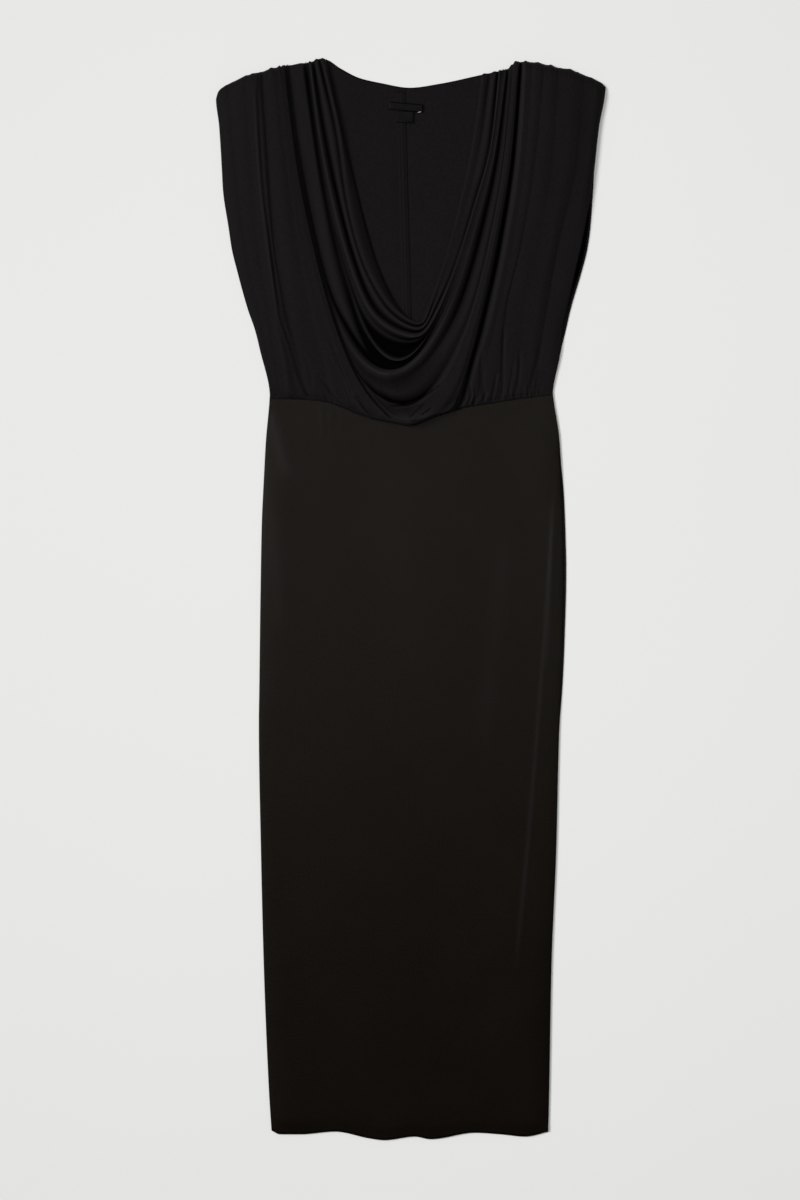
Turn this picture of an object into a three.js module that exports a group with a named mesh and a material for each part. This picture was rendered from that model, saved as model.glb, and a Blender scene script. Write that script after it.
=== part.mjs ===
// Sleeveless maxi dress laid flat, seen from above: a draped cowl bodice over a plain column skirt.
// Millimetres. The back lies on z = 0, +Y points to the shoulders, +Z is up.
import * as THREE from 'three';

// Cloth layers
const WALL = 1.2;                      // thickness of one layer of jersey
const GAP = 0.3;                       // air between pieces
const BACK_TOP = WALL;                 // upper face of the back pieces
const FRONT_FLOOR = BACK_TOP + GAP;    // nothing of the front reaches lower
const FRONT_LOW = FRONT_FLOOR + WALL;  // outer face of the front where it lies flat
const STEEP_WALL = 3.2;                // most that a wall measures straight down on a steep slope

// Edges and seams
const SHOULDER_ROUND = 16;             // the padded shoulder rises over this width
const BLOUSE = 5;                      // the bodice puffs out this far above the waist seam
const ARMHOLE_LIFT = 5.5;              // the free right armhole edge stands this far off the back
const ARMHOLE_MIDDLE = 450;            // y where it stands off the most
const ARMHOLE_LENGTH = 75;             // how far up and down it does so
const LIP_ROLL = 9;                    // how far the cowl's lip hangs over the seam and comes back
const LIP_LEFT = 42;                   // the lip overhangs the seam this far to each side
const LIP_RIGHT = 22;
const CENTRE = 3;                      // x of the lowest point of the cowl
const VALLEY_CUSP = 0.3;               // how tight the valleys between folds are, 0 to 1
const SEAM_LAP = 2.5;                  // the skirt's top edge reaches under the bodice
const HEM_DEPTH = 20;
const HEM_WALL = 2.1;                  // the hem is turned up once
const BACK_SEAM_X = -2.3;              // centre back seam, half way down the bodice
const BACK_SEAM_MIDDLE = 449;          // y half way down
const BACK_SEAM_SLANT = 0.027;         // it lies a little aslant, as the bodice does

// Side outline by height: both front edges, and the right edge of the back where it shows beyond.
const OUTLINE = [
  { y: 668, left: -254, right: 252.5, back: 252.5 },
  { y: 650, left: -254, right: 250.5, back: 250.5 },
  { y: 615, left: -250, right: 243.8, back: 244 },
  { y: 558, left: -246.4, right: 237.3, back: 237.6 },
  { y: 532, left: -245, right: 234, back: 236 },
  { y: 480, left: -237.3, right: 224.5, back: 232 },
  { y: 454, left: -233.4, right: 219.2, back: 228.2 },
  { y: 428, left: -227, right: 213.2, back: 221.7 },
  { y: 376, left: -212.6, right: 201.5, back: 206.5 },
  { y: 350, left: -203.5, right: 195.7, back: 200.5 },
  { y: 324, left: -197, right: 193.8, back: 194.4 },
  { y: 262, left: -184, right: 183, back: 183.3 },
  { y: 194, left: -189.2, right: 191.8, back: 192 },
  { y: 142, left: -192, right: 195, back: 197.5 },
  { y: 90, left: -194.4, right: 196.8, back: 199.8 },
  { y: 38, left: -195.5, right: 197.8, back: 200.9 },
  { y: -66, left: -197, right: 195.8, back: 198.3 },
  { y: -118, left: -197.6, right: 194, back: 195.7 },
  { y: -170, left: -198.3, right: 191.6, back: 192 },
  { y: -326, left: -195.7, right: 187.7, back: 188 },
  { y: -482, left: -191.8, right: 181.4, back: 181.7 },
  { y: -638, left: -185.3, right: 178.6, back: 178.9 },
  { y: -704, left: -181, right: 177, back: 177.3 },
];

// Top outline: shoulder seam, back neck, shoulder seam.
const TOP = [
  { x: -254, y: 649 }, { x: -251.5, y: 658 }, { x: -246, y: 664 }, { x: -226, y: 674.5 },
  { x: -197, y: 684 }, { x: -171, y: 691.5 }, { x: -132, y: 697 }, { x: -119, y: 702 },
  { x: -111, y: 701 }, { x: -93, y: 689.7 }, { x: -67, y: 676.7 }, { x: -41, y: 670.6 },
  { x: -2, y: 664.3 }, { x: 37, y: 669.5 }, { x: 89, y: 680.6 }, { x: 115, y: 686 },
  { x: 124, y: 688 }, { x: 135, y: 697 }, { x: 154, y: 697.5 }, { x: 189, y: 690.5 },
  { x: 209, y: 686.5 }, { x: 232, y: 677.3 }, { x: 247, y: 670 }, { x: 252.5, y: 664 },
];

// Waist seam, which sags under the cowl.
const WAIST = [
  { x: -186, y: 260 }, { x: -145, y: 259.4 }, { x: -112, y: 256 }, { x: -86, y: 247 },
  { x: -67, y: 238.6 }, { x: -43, y: 232.8 }, { x: 0, y: 234 }, { x: 37, y: 239.2 },
  { x: 70, y: 248.3 }, { x: 102, y: 253.5 }, { x: 141, y: 260 }, { x: 186, y: 265.4 },
];

// Hem edge, which waves a little.
const HEM = [
  { x: -182, y: -690 }, { x: -171, y: -695 }, { x: -145, y: -695 }, { x: -100, y: -691.5 },
  { x: -54, y: -700.5 }, { x: -36, y: -702.7 }, { x: 4, y: -698 }, { x: 24, y: -701.4 },
  { x: 82, y: -693 }, { x: 115, y: -695 }, { x: 147, y: -698 }, { x: 178, y: -691.5 },
];

// Rows of values as objects with the named columns.
function table(columns, rows) {
  const names = columns.split(' ');
  return rows.map((row) => Object.fromEntries(names.map((name, i) => [name, row[i]])));
}

// How far down its length each line is given in the tables below: l1 to l4, then the lowest point.
const STATIONS = [0, 0.169, 0.343, 0.525, 0.714, 1];

// Cowl lines, from the neck edge outwards. Each hangs from the left shoulder seam (l0) through l1..l4
// to its lowest point (x, y) and up through r4..r1 to the right shoulder seam (r0). zls, zl, zb, zr
// and zrs are its heights at the left shoulder, left arm, bottom, right arm and right shoulder.
// ridge is 1 on a round crest, 2 on a narrow one, 0 in a valley. steps is the number of strips to
// the next line.
const COWL = table('name ridge steps l0 l1 l2 l3 l4 x y r4 r3 r2 r1 r0 zls zl zb zr zrs', [
  ['neck edge', 0, 2, -110.5, -89, -68.5, -48.5, -26, 6, 362, 24, 42, 60.5, 77, 90,
    6, 3.2, 4.6, 3.8, 5],
  ['first fold', 1, 1, -115.5, -93.5, -81, -62, -33.5, 11, 356.5, 26.5, 43.5, 63, 81, 94,
    10, 10.2, 13, 8, 8.5],
  ['slit', 0, 1, -120, -98, -85, -65.5, -37.5, 6, 353.8, 29, 48.5, 70.5, 90, 101.5,
    6, 8.4, 8.5, 8, 5.5],
  ['second fold', 1, 1, -124, -104, -88.5, -68, -40.5, 9, 350, 31, 52.5, 75, 96, 107.5,
    10.5, 9.8, 13.5, 8, 9.5],
  ['first valley', 0, 1, -128.5, -112.5, -93.5, -72.5, -48.5, 5, 345.8, 32, 55.5, 79, 102.5, 112.5,
    6, 4, 8, 6.5, 5.5],
  ['third fold', 1, 1, -132, -118.5, -100, -78, -52, 4, 339, 33.5, 56.5, 80, 104, 115,
    12, 11.5, 19.5, 11.5, 11],
  ['thin slit', 0, 1, -134.5, -121, -104, -82, -57, -1, 336.5, 34.5, 57.5, 81.5, 105, 116.5,
    8, 7, 10.5, 11, 10.4],
  ['thin fold', 2, 1, -135.5, -121.5, -104.5, -82.5, -59, -4, 333.8, 34.5, 58, 82, 105.5, 117,
    7.6, 6.5, 12.5, 11.1, 10.6],
  ['deep valley', 0, 1, -136, -122, -104, -81, -56.5, -12, 321, 28.5, 55.5, 81, 105, 118,
    7, 5, 3.6, 10.6, 10.4],
  ['low fold', 2, 1, -137, -122.5, -104, -81, -57, -18, 308.8, 23, 53.5, 80, 105, 118.5,
    7, 5.2, 12, 11.2, 10.8],
  ['dark valley', 0, 1, -138.5, -123.5, -105, -84, -62.5, -21, 304.8, 22, 53.5, 80.5, 105.5, 119.5,
    6.5, 3.8, 3.6, 11, 10.8],
  ['inner fold', 1, 1, -143.5, -128, -112.5, -94, -68.5, -24, 301.6, 22, 54, 81, 106, 120,
    11.5, 9.6, 4.6, 11.6, 11.4],
  ['outer valley', 0, 1, -160.5, -147, -128, -105.5, -73.5, -27, 298.4, 21.5, 54.5, 81, 106.5, 121,
    8.5, 5, 3.8, 11.6, 11.4],
  ['great fold', 1, 1, -161.5, -147.5, -128, -107, -79.5, -30, 290.6, 23, 55, 81.5, 107, 122,
    9, 6.2, 31, 13.4, 13.2],
  ['fold back', 0, 1, -162.2, -148, -127.5, -107, -80, -28, 282, 29.5, 62.5, 89, 111, 125,
    9.5, 6, 26.5, 5.5, 8],
  ['shaded band', 1, 1, -163, -148.3, -127, -104.5, -75, -20, 268, 35, 73.5, 98.5, 118.5, 129.5,
    10, 6.4, 19.5, 10.8, 12],
  ['inner crease', 0, 1, -163.7, -148.6, -126.5, -102, -70.5, -12, 253.5, 40, 74, 99.5, 119.5, 131.5,
    10.8, 7.4, 12, 10, 11.6],
  ['lip pleat', 1, 2, -164.5, -149, -126.5, -101, -70, -10, 249, 48, 76.5, 102, 121.5, 134,
    12.5, 10.5, 18.5, 13.2, 13.8],
  ['cowl lip', 1, 0, -166, -149.5, -125.5, -97, -63.5, -3, 229.5, 54.5, 80.5, 105, 124.5, 137,
    15.5, 15, 24, 14.2, 14.8],
]);

// Side panel lines from the shoulder seam (x0) through x1..x4 to the waist (x5), with their heights
// at the shoulder, half way and waist. The first and last lines of the panels are the side outline
// and the cowl lip.
const PANEL_COLUMNS = 'name ridge steps x0 x1 x2 x3 x4 x5 zs zm zw';
const LEFT_PANEL = table(PANEL_COLUMNS, [
  ['arm trough', 0, 2, -238.5, -227, -215, -197, -185.3, -175.5, 12, 8.2, 3.8],
  ['arm swell', 1, 2, -219, -210.5, -201, -186.6, -177.5, -169.5, 15.5, 10, 4.8],
  ['long fold', 1, 2, -203, -195.7, -185.3, -175, -166.4, -160.5, 17.5, 12.6, 6],
  ['long crease', 0, 2, -194.5, -186.5, -178.8, -162.5, -145.6, -133.3, 14.5, 9, 4.2],
  ['centre swell', 1, 1, -181.5, -169.7, -158, -147.6, -130.7, -116.5, 17.5, 12, 5.4],
  ['soft trough', 0, 1, -176, -163, -147.5, -129.4, -112.5, -101, 17, 11.5, 5],
  ['low swell', 1, 1, -172, -159.5, -142, -121.5, -102, -89, 17, 12.4, 7],
  ['waist crease', 0, 2, -169.5, -155.5, -136.5, -113, -91, -75, 16.5, 13, 7.5],
  ['cowl shoulder', 1, 2, -167.5, -152, -131.5, -105, -80.5, -50, 16, 14.8, 17],
]);
const RIGHT_PANEL = table(PANEL_COLUMNS, [
  ['lip shoulder', 1, 1, 138.5, 128, 108, 86.5, 67, 42, 14.5, 13.4, 17],
  ['panel valley', 0, 1, 141.5, 131, 113.5, 92, 72.5, 59, 7, 3.3, 4.5],
  ['panel edge', 1, 1, 148, 140.5, 124, 104, 83, 70, 16.5, 12.8, 7],
  ['gather one', 0, 1, 157, 148, 131.5, 111, 93, 80, 16.2, 12.3, 5.2],
  ['swell one', 1, 1, 164.5, 154.5, 138.5, 118, 104.5, 94.5, 17.4, 12.6, 6.2],
  ['gather two', 0, 1, 172.5, 160.8, 143.2, 121.6, 116.4, 110, 16.4, 11.6, 4.6],
  ['swell two', 1, 1, 181.4, 171.6, 153.4, 133.3, 128, 121.6, 17.2, 12.2, 5.4],
  ['gather three', 0, 1, 190.5, 182.7, 165.8, 145, 139.8, 133.3, 15.8, 11.6, 4.4],
  ['swell three', 1, 2, 204.8, 197.6, 179, 160.6, 153, 149, 16, 11.5, 5],
  ['arm crease', 0, 2, 223, 214.5, 191, 175, 164.5, 159.3, 13.4, 8.4, 4],
  ['arm swell', 1, 3, 237, 227, 205.5, 188, 177.5, 171, 12, 8.8, 4.4],
]);

// Rows of the bodice from the shoulder seam to the crest above the waist, closer at the shoulder.
const BODICE_ROWS = [0, 0.008, 0.02, 0.042, 0.075, 0.115, 0.165, 0.215, 0.27, 0.325, 0.38, 0.43, 0.485,
  0.54, 0.595, 0.65, 0.7, 0.75, 0.8, 0.85, 0.9, 0.95, 1];
const BACK_COLUMNS = 12;               // across each half of the back
const BACK_BODICE_ROWS = 15;
const BACK_SKIRT_ROWS = 20;
const ROLL_ROWS = 4;                   // rows from the crest over the lip to the waist seam

// Long soft creases of the skirt: from (x0, y0) to (x1, y1), how high and how wide.
const SKIRT_CREASES = [
  { x0: 188, y0: 148, x1: 166, y1: -180, rise: 1.2, width: 9 },
  { x0: 168, y0: -200, x1: 134, y1: -480, rise: 1, width: 11 },
  { x0: -183, y0: 246, x1: -160, y1: 158, rise: 1.3, width: 10 },
  { x0: -178, y0: 110, x1: -170, y1: -40, rise: 0.9, width: 12 },
  { x0: 122, y0: 92, x1: 94, y1: -190, rise: 0.7, width: 14 },
];
const SKIRT_CREST = 4.6;               // height of the skirt's outer face between its edges
const SKIRT_EDGE_ROUND = 22;
const SKIRT_SHELF = 14;                // the skirt stays low under the cowl, then rises
const SKIRT_RAMP = 30;
const SKIRT_SIDE_TOP = 252;            // y of its side edges at the waist and at the hem
const SKIRT_SIDE_END = -696;
const SKIRT_COLUMNS = 20;
const SKIRT_ROWS = 22;                 // even rows, after a few close ones under the seam
const HEM_ROW = 0.972;                 // share of the length where the turned-up hem starts

// Labels inside the back neck
const LABEL = { x: -7.3, y: 639, width: 44, height: 10, wall: 1, tilt: -0.09 };
const SIZE_TAB = { x: -8.7, y: 625.9, width: 22, height: 14.4, wall: 1, tilt: -0.04 };

// Seam allowance pressed to the left of the centre back seam
const ALLOWANCE = {
  x: BACK_SEAM_X - 6.5, y: BACK_SEAM_MIDDLE, width: 13, height: 422, wall: 1, tilt: BACK_SEAM_SLANT,
};
const ALLOWANCE_Z = BACK_TOP + GAP;
const ALLOWANCE_REACH = 16;            // the front clears the allowance this far from its middle
const ALLOWANCE_RAMP = 8;

const CLOTH_COLOUR = 0x17161a;
const SKIRT_COLOUR = 0x1b1916;
const LABEL_COLOUR = 0x0d0d0f;

// Smooth curve through the given knots that never overshoots them.
function curve(knots, values) {
  const slopes = [];
  for (let i = 0; i < knots.length - 1; i++) {
    slopes.push((values[i + 1] - values[i]) / (knots[i + 1] - knots[i]));
  }
  const tangents = values.map((value, i) => {
    if (i === 0) return slopes[0];
    if (i === values.length - 1) return slopes[i - 1];
    if (slopes[i - 1] * slopes[i] <= 0) return 0;
    return 2 * slopes[i - 1] * slopes[i] / (slopes[i - 1] + slopes[i]);
  });
  return (at) => {
    let i = 0;
    while (i < knots.length - 2 && at > knots[i + 1]) i++;
    const span = knots[i + 1] - knots[i];
    const t = Math.min(Math.max((at - knots[i]) / span, 0), 1);
    const back = 1 - t;
    return values[i] * (1 + 2 * t) * back * back + tangents[i] * span * t * back * back
      + values[i + 1] * (3 - 2 * t) * t * t - tangents[i + 1] * span * t * t * back;
  };
}

function column(rows, knot, value) {
  return curve(rows.map((row) => row[knot]), rows.map((row) => row[value]));
}

const heightsUp = [...OUTLINE].reverse();
const leftEdge = column(heightsUp, 'y', 'left');
const rightEdge = column(heightsUp, 'y', 'right');
const backRightEdge = column(heightsUp, 'y', 'back');
const topEdge = column(TOP, 'x', 'y');
const waistSeam = column(WAIST, 'x', 'y');
const hemEdge = column(HEM, 'x', 'y');

const mix = (a, b, t) => a + (b - a) * t;
const bell = (distance, width) => Math.exp(-((distance / width) ** 2));
const quarterRound = (part) => Math.sqrt(1 - (1 - Math.min(Math.max(part, 0), 1)) ** 2);
const smooth = (part) => {
  const t = Math.min(Math.max(part, 0), 1);
  return t * t * (3 - 2 * t);
};

// Share of a hanging line's drop reached at each part of its length; it is level at its lowest point.
const drop = (s) => 0.3 * (1 - (1 - s) ** 2) + 0.7 * Math.sin(s * Math.PI / 2);

// The bodice's crest runs a little above the waist seam, and below it at the cowl's lowest point.
const crestRow = (x) => waistSeam(x) + BLOUSE - (BLOUSE + 1.2) * bell(x - CENTRE, 45);

// A line of the bodice as a function of s, from its place on the shoulder seam down to its end.
function hangingLine(x, startX, endY, heights, ridge) {
  const z = curve([0, 0.45, 1], heights);
  const startY = topEdge(startX) + (ridge ? 1 : -0.8);
  return (s) => {
    const y = mix(startY, endY, drop(s));
    const round = quarterRound((startY - y) / SHOULDER_ROUND);
    return { x: x(s), y, z: mix(FRONT_LOW + 0.1, z(s), round) };
  };
}

// One arm of a cowl line. Its x follows one curve from shoulder to shoulder, so the bottom is round.
function cowlLine(row, side) {
  const knots = [...STATIONS, ...STATIONS.slice(0, -1).reverse().map((s) => 2 - s)];
  const { l0, l1, l2, l3, l4, x, r4, r3, r2, r1, r0 } = row;
  const whole = curve(knots, [l0, l1, l2, l3, l4, x, r4, r3, r2, r1, r0]);
  const left = side === 'left';
  const heights = left ? [row.zls, row.zl, row.zb] : [row.zrs, row.zr, row.zb];
  const at = hangingLine((s) => whole(left ? s : 2 - s), left ? l0 : r0, row.y, heights, row.ridge);
  return { ...row, at };
}

function panelLine(row) {
  const { x0, x1, x2, x3, x4, x5 } = row;
  const x = curve(STATIONS, [x0, x1, x2, x3, x4, x5]);
  return { ...row, at: hangingLine(x, x0, crestRow(x5), [row.zs, row.zm, row.zw], row.ridge) };
}

// The free side edge of a panel follows the outline at its own heights, and may stand off the back.
function sideLine(edge, startY, lift, steps) {
  const endY = crestRow(edge(waistSeam(0) + BLOUSE + 25));
  const at = (s) => {
    const y = mix(startY, endY, drop(s));
    return { x: edge(y), y, z: FRONT_LOW + 0.1 + lift * bell(y - ARMHOLE_MIDDLE, ARMHOLE_LENGTH) };
  };
  return { name: 'side edge', ridge: 0, side: true, steps, at };
}

// Point part-way between two neighbouring lines: round on crests, tighter in valleys.
function between(first, second, s, w) {
  const a = first.at(s);
  const b = second.at(s);
  let rise = smooth(w);
  if (first.side) rise = quarterRound(w);
  else if (second.side) rise = 1 - quarterRound(1 - w);
  else if (first.ridge === 2 || second.ridge === 2) rise = mix(rise, w, 0.7);
  else if (first.ridge !== second.ridge) {
    const up = first.ridge === 0;
    const wave = up ? Math.sin(w * Math.PI / 2) : 1 - Math.cos(w * Math.PI / 2);
    const roundCrest = up ? quarterRound(w) : 1 - quarterRound(1 - w);
    rise = mix(mix(rise, wave, 0.75), roundCrest, VALLEY_CUSP);
  }
  let y = mix(a.y, b.y, w);
  if (first.side || second.side) {
    const a0 = first.at(0);
    const b0 = second.at(0);
    y += (topEdge(mix(a0.x, b0.x, w)) - mix(a0.y, b0.y, w)) * (1 - drop(s));
  }
  return { x: mix(a.x, b.x, w), y, z: mix(a.z, b.z, rise) };
}

// One strand for each strip edge across a family of lines.
function strands(lines) {
  const list = [];
  lines.forEach((line, i) => {
    if (i === lines.length - 1) list.push((s) => line.at(s));
    else for (let k = 0; k < line.steps; k++) list.push((s) => between(line, lines[i + 1], s, k / line.steps));
  });
  return list;
}

// From the crest the cloth rolls down to the waist seam, and under itself at the cowl's lowest point.
function rollUnder(crest, w) {
  const seamY = waistSeam(crest.x);
  const seamZ = FRONT_LOW + GAP;
  const overhang = bell(crest.x - CENTRE, crest.x < CENTRE ? LIP_LEFT : LIP_RIGHT);
  const out = mix(BLOUSE * 0.5, LIP_ROLL, overhang);
  const back = mix(-1, LIP_ROLL, overhang);
  const lift = mix((crest.z - seamZ) * 0.4, 1, overhang);
  const c0 = (1 - w) ** 3;
  const c1 = 3 * w * (1 - w) ** 2;
  const c2 = 3 * w * w * (1 - w);
  const c3 = w ** 3;
  return {
    x: crest.x,
    y: c0 * crest.y + c1 * (crest.y - out) + c2 * (seamY - back) + c3 * seamY,
    z: c0 * crest.z + c1 * crest.z + c2 * (seamZ + lift) + c3 * seamZ,
    rolled: true,
  };
}

// A sheet of cloth: welded points and triangles of its outer face, made a closed wall.
class Sheet {
  constructor() {
    this.points = [];
    this.triangles = [];
    this.known = new Map();
  }

  index(p) {
    const key = [p.x, p.y, p.z].map((value) => Math.round(value * 1000)).join();
    if (!this.known.has(key)) {
      this.known.set(key, this.points.length);
      this.points.push(p);
    }
    return this.known.get(key);
  }

  // Columns run to the right and rows run down, so that the outer face looks up.
  grid(columns, rows, at) {
    const ids = [];
    for (let i = 0; i <= columns; i++) {
      ids.push([]);
      for (let j = 0; j <= rows; j++) ids[i].push(this.index(at(i, j)));
    }
    for (let i = 0; i < columns; i++) {
      for (let j = 0; j < rows; j++) {
        this.triangle(ids[i][j], ids[i][j + 1], ids[i + 1][j + 1]);
        this.triangle(ids[i][j], ids[i + 1][j + 1], ids[i + 1][j]);
      }
    }
  }

  triangle(a, b, c) {
    if (a !== b && b !== c && c !== a) this.triangles.push([a, b, c]);
  }

  normals() {
    const normals = this.points.map(() => new THREE.Vector3());
    const corner = this.points.map((p) => new THREE.Vector3(p.x, p.y, p.z));
    for (const [a, b, c] of this.triangles) {
      const ab = corner[b].clone().sub(corner[a]);
      const ac = corner[c].clone().sub(corner[a]);
      const face = ab.cross(ac);
      for (const id of [a, b, c]) normals[id].add(face);
    }
    return normals.map((normal) => normal.normalize());
  }

  // The inner face lies straight below the outer one, so folds never cross it. Where the cloth
  // rolls under, it lies along the normal instead.
  wall(thickness, floor) {
    const outer = this.points;
    const normals = this.normals();
    const inner = outer.map((p, i) => {
      const wall = thickness(p);
      const n = normals[i];
      if (p.rolled) {
        const z = Math.max(p.z - n.z * wall, FRONT_LOW + GAP);
        return { x: p.x - n.x * wall, y: p.y - n.y * wall, z };
      }
      const depth = Math.min(wall / Math.max(n.z, 0.2), STEEP_WALL);
      return { x: p.x, y: p.y, z: Math.max(p.z - Math.max(depth, wall), floor(p)) };
    });
    const uses = new Map();
    for (const [a, b, c] of this.triangles) {
      for (const [from, to] of [[a, b], [b, c], [c, a]]) uses.set(`${from},${to}`, [from, to]);
    }
    const count = outer.length;
    const faces = [...this.triangles];
    for (const [a, b, c] of this.triangles) faces.push([a + count, c + count, b + count]);
    for (const [from, to] of uses.values()) {
      if (uses.has(`${to},${from}`)) continue;
      faces.push([from, from + count, to + count], [from, to + count, to]);
    }
    const geometry = new THREE.BufferGeometry();
    const places = [...outer, ...inner].flatMap((p) => [p.x, p.y, p.z]);
    geometry.setAttribute('position', new THREE.Float32BufferAttribute(places, 3));
    geometry.setIndex(faces.flat());
    geometry.computeVertexNormals();
    return geometry;
  }
}

function mesh(name, geometry, colour, roughness = 0.75) {
  const material = new THREE.MeshStandardMaterial({ color: colour, roughness, metalness: 0 });
  const part = new THREE.Mesh(geometry, material);
  part.name = name;
  return part;
}

// Where the centre back seam is at each height.
const backSeam = (y) => BACK_SEAM_X + BACK_SEAM_SLANT * (BACK_SEAM_MIDDLE - y);

// The draped front: the cowl between the shoulders, and a gathered panel on each side of it.
function frontBodice() {
  const sheet = new Sheet();
  const leftCowl = strands(COWL.map((row) => cowlLine(row, 'left')));
  const rightCowl = strands(COWL.map((row) => cowlLine(row, 'right')));
  const lipLeft = cowlLine(COWL.at(-1), 'left');
  const lipRight = { ...cowlLine(COWL.at(-1), 'right'), steps: 1 };
  const leftPanel = strands([sideLine(leftEdge, 649, 0, 3), ...LEFT_PANEL.map(panelLine), lipLeft]);
  const rightPanel = strands([lipRight, ...RIGHT_PANEL.map(panelLine), sideLine(rightEdge, 664, ARMHOLE_LIFT, 0)]);
  const last = BODICE_ROWS.length - 1;

  sheet.grid(2 * last, leftCowl.length - 1, (i, j) => (
    i <= last ? leftCowl[j](BODICE_ROWS[i]) : rightCowl[j](BODICE_ROWS[2 * last - i])));

  for (const panel of [leftPanel, rightPanel]) {
    sheet.grid(panel.length - 1, last + ROLL_ROWS, (i, j) => (
      j <= last ? panel[i](BODICE_ROWS[j]) : rollUnder(panel[i](1), (j - last) / ROLL_ROWS)));
  }
  const overAllowance = ALLOWANCE_Z + ALLOWANCE.wall + GAP;
  const fromAllowance = (p) => Math.abs(p.x - backSeam(p.y) + ALLOWANCE.width / 2);
  const nearAllowance = (p) => smooth((ALLOWANCE_REACH - fromAllowance(p)) / ALLOWANCE_RAMP);
  const floor = (p) => mix(FRONT_FLOOR, overAllowance, nearAllowance(p));
  return sheet.wall(() => WALL, floor);
}

// Height of the front skirt's outer face.
function skirtHeight(x, y) {
  const side = Math.min(x - leftEdge(y), rightEdge(y) - x);
  const below = waistSeam(x) - y;
  const crest = SKIRT_CREST + 0.35 * Math.sin(x / 31 + y / 140) + 0.3 * Math.sin(x / 47 - y / 210 + 1);
  const ramp = smooth((below - SKIRT_SHELF) / SKIRT_RAMP);
  let z = mix(FRONT_LOW, crest, quarterRound(side / SKIRT_EDGE_ROUND) * ramp);
  for (const crease of SKIRT_CREASES) {
    const along = (crease.y0 - y) / (crease.y0 - crease.y1);
    const middle = mix(crease.x0, crease.x1, along);
    const ends = smooth(along * 4) * smooth((1 - along) * 4);
    z += crease.rise * ends * ramp * bell(x - middle, crease.width) * smooth(side / 8);
  }
  const hem = smooth((y - hemEdge(x)) / HEM_DEPTH);
  return mix(FRONT_FLOOR + HEM_WALL, z, hem * 0.75 + 0.25 * smooth(side / 30));
}

// Share of the way across at each column, closer at the side edges.
const across = (i, columns) => mix(i / columns, 0.5 - 0.5 * Math.cos(Math.PI * i / columns), 0.6);

function frontSkirt() {
  const sheet = new Sheet();
  const rows = [0, 0.01, 0.02, 0.03];
  for (let k = 0; k <= SKIRT_ROWS; k++) rows.push(mix(0.04, HEM_ROW, k / SKIRT_ROWS));
  rows.push(1);
  sheet.grid(SKIRT_COLUMNS, rows.length - 1, (i, j) => {
    const level = mix(SKIRT_SIDE_TOP, SKIRT_SIDE_END, rows[j]);
    const x = mix(leftEdge(level), rightEdge(level), across(i, SKIRT_COLUMNS));
    const y = mix(waistSeam(x) + SEAM_LAP, hemEdge(x), rows[j]);
    return { x, y, z: Math.max(skirtHeight(x, y), FRONT_LOW) };
  });
  return sheet.wall((p) => (p.y - hemEdge(p.x) < HEM_DEPTH ? HEM_WALL : WALL), () => FRONT_FLOOR);
}

// Lays a flat piece of the back between two side edges, from an upper edge to a lower one.
function layBack(sheet, rows, left, right, upper, lower) {
  const highLeft = left(upper(left(OUTLINE[0].y)));
  const highRight = right(upper(right(OUTLINE[0].y)));
  const lowLeft = left(lower(left(0)));
  const lowRight = right(lower(right(0)));
  sheet.grid(BACK_COLUMNS, rows, (i, j) => {
    const u = i / BACK_COLUMNS;
    const v = j / rows;
    return {
      x: mix(left(mix(upper(highLeft), lower(lowLeft), v)), right(mix(upper(highRight), lower(lowRight), v)), u),
      y: mix(upper(mix(highLeft, highRight, u)), lower(mix(lowLeft, lowRight, u)), v),
      z: BACK_TOP,
    };
  });
}

function backBodice(left, right) {
  const sheet = new Sheet();
  layBack(sheet, BACK_BODICE_ROWS, left, right, topEdge, waistSeam);
  return sheet.wall(() => WALL, () => 0);
}

function backSkirt() {
  const sheet = new Sheet();
  const belowSeam = (x) => waistSeam(x) - GAP;
  const middle = () => BACK_SEAM_X;
  layBack(sheet, BACK_SKIRT_ROWS, leftEdge, middle, belowSeam, hemEdge);
  layBack(sheet, BACK_SKIRT_ROWS, middle, backRightEdge, belowSeam, hemEdge);
  return sheet.wall(() => WALL, () => 0);
}

// A small flat rectangle of cloth that lies at a given height.
function slip(size, z) {
  const geometry = new THREE.BoxGeometry(size.width, size.height, size.wall);
  geometry.rotateZ(size.tilt);
  geometry.translate(size.x, size.y, z + size.wall / 2);
  return geometry;
}

const LABEL_Z = ALLOWANCE_Z + ALLOWANCE.wall + GAP;
const toSeamLeft = (y) => backSeam(y) - GAP / 2;
const toSeamRight = (y) => backSeam(y) + GAP / 2;

const dress = new THREE.Group();
dress.add(
  mesh('back_bodice_left', backBodice(leftEdge, toSeamLeft), CLOTH_COLOUR),
  mesh('back_bodice_right', backBodice(toSeamRight, backRightEdge), CLOTH_COLOUR),
  mesh('back_skirt', backSkirt(), SKIRT_COLOUR),
  mesh('back_seam_allowance', slip(ALLOWANCE, ALLOWANCE_Z), CLOTH_COLOUR),
  mesh('neck_label', slip(LABEL, LABEL_Z), LABEL_COLOUR, 0.5),
  mesh('size_tab', slip(SIZE_TAB, LABEL_Z), LABEL_COLOUR, 0.5),
  mesh('front_bodice', frontBodice(), CLOTH_COLOUR),
  mesh('front_skirt', frontSkirt(), SKIRT_COLOUR),
);

export default dress;
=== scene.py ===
"""Looks of the maxi dress: every cloth piece again with finer folds, gathers, creases and stitches.

Tables and sizes are in millimetres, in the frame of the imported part. Meshes are in metres.
"""

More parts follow.
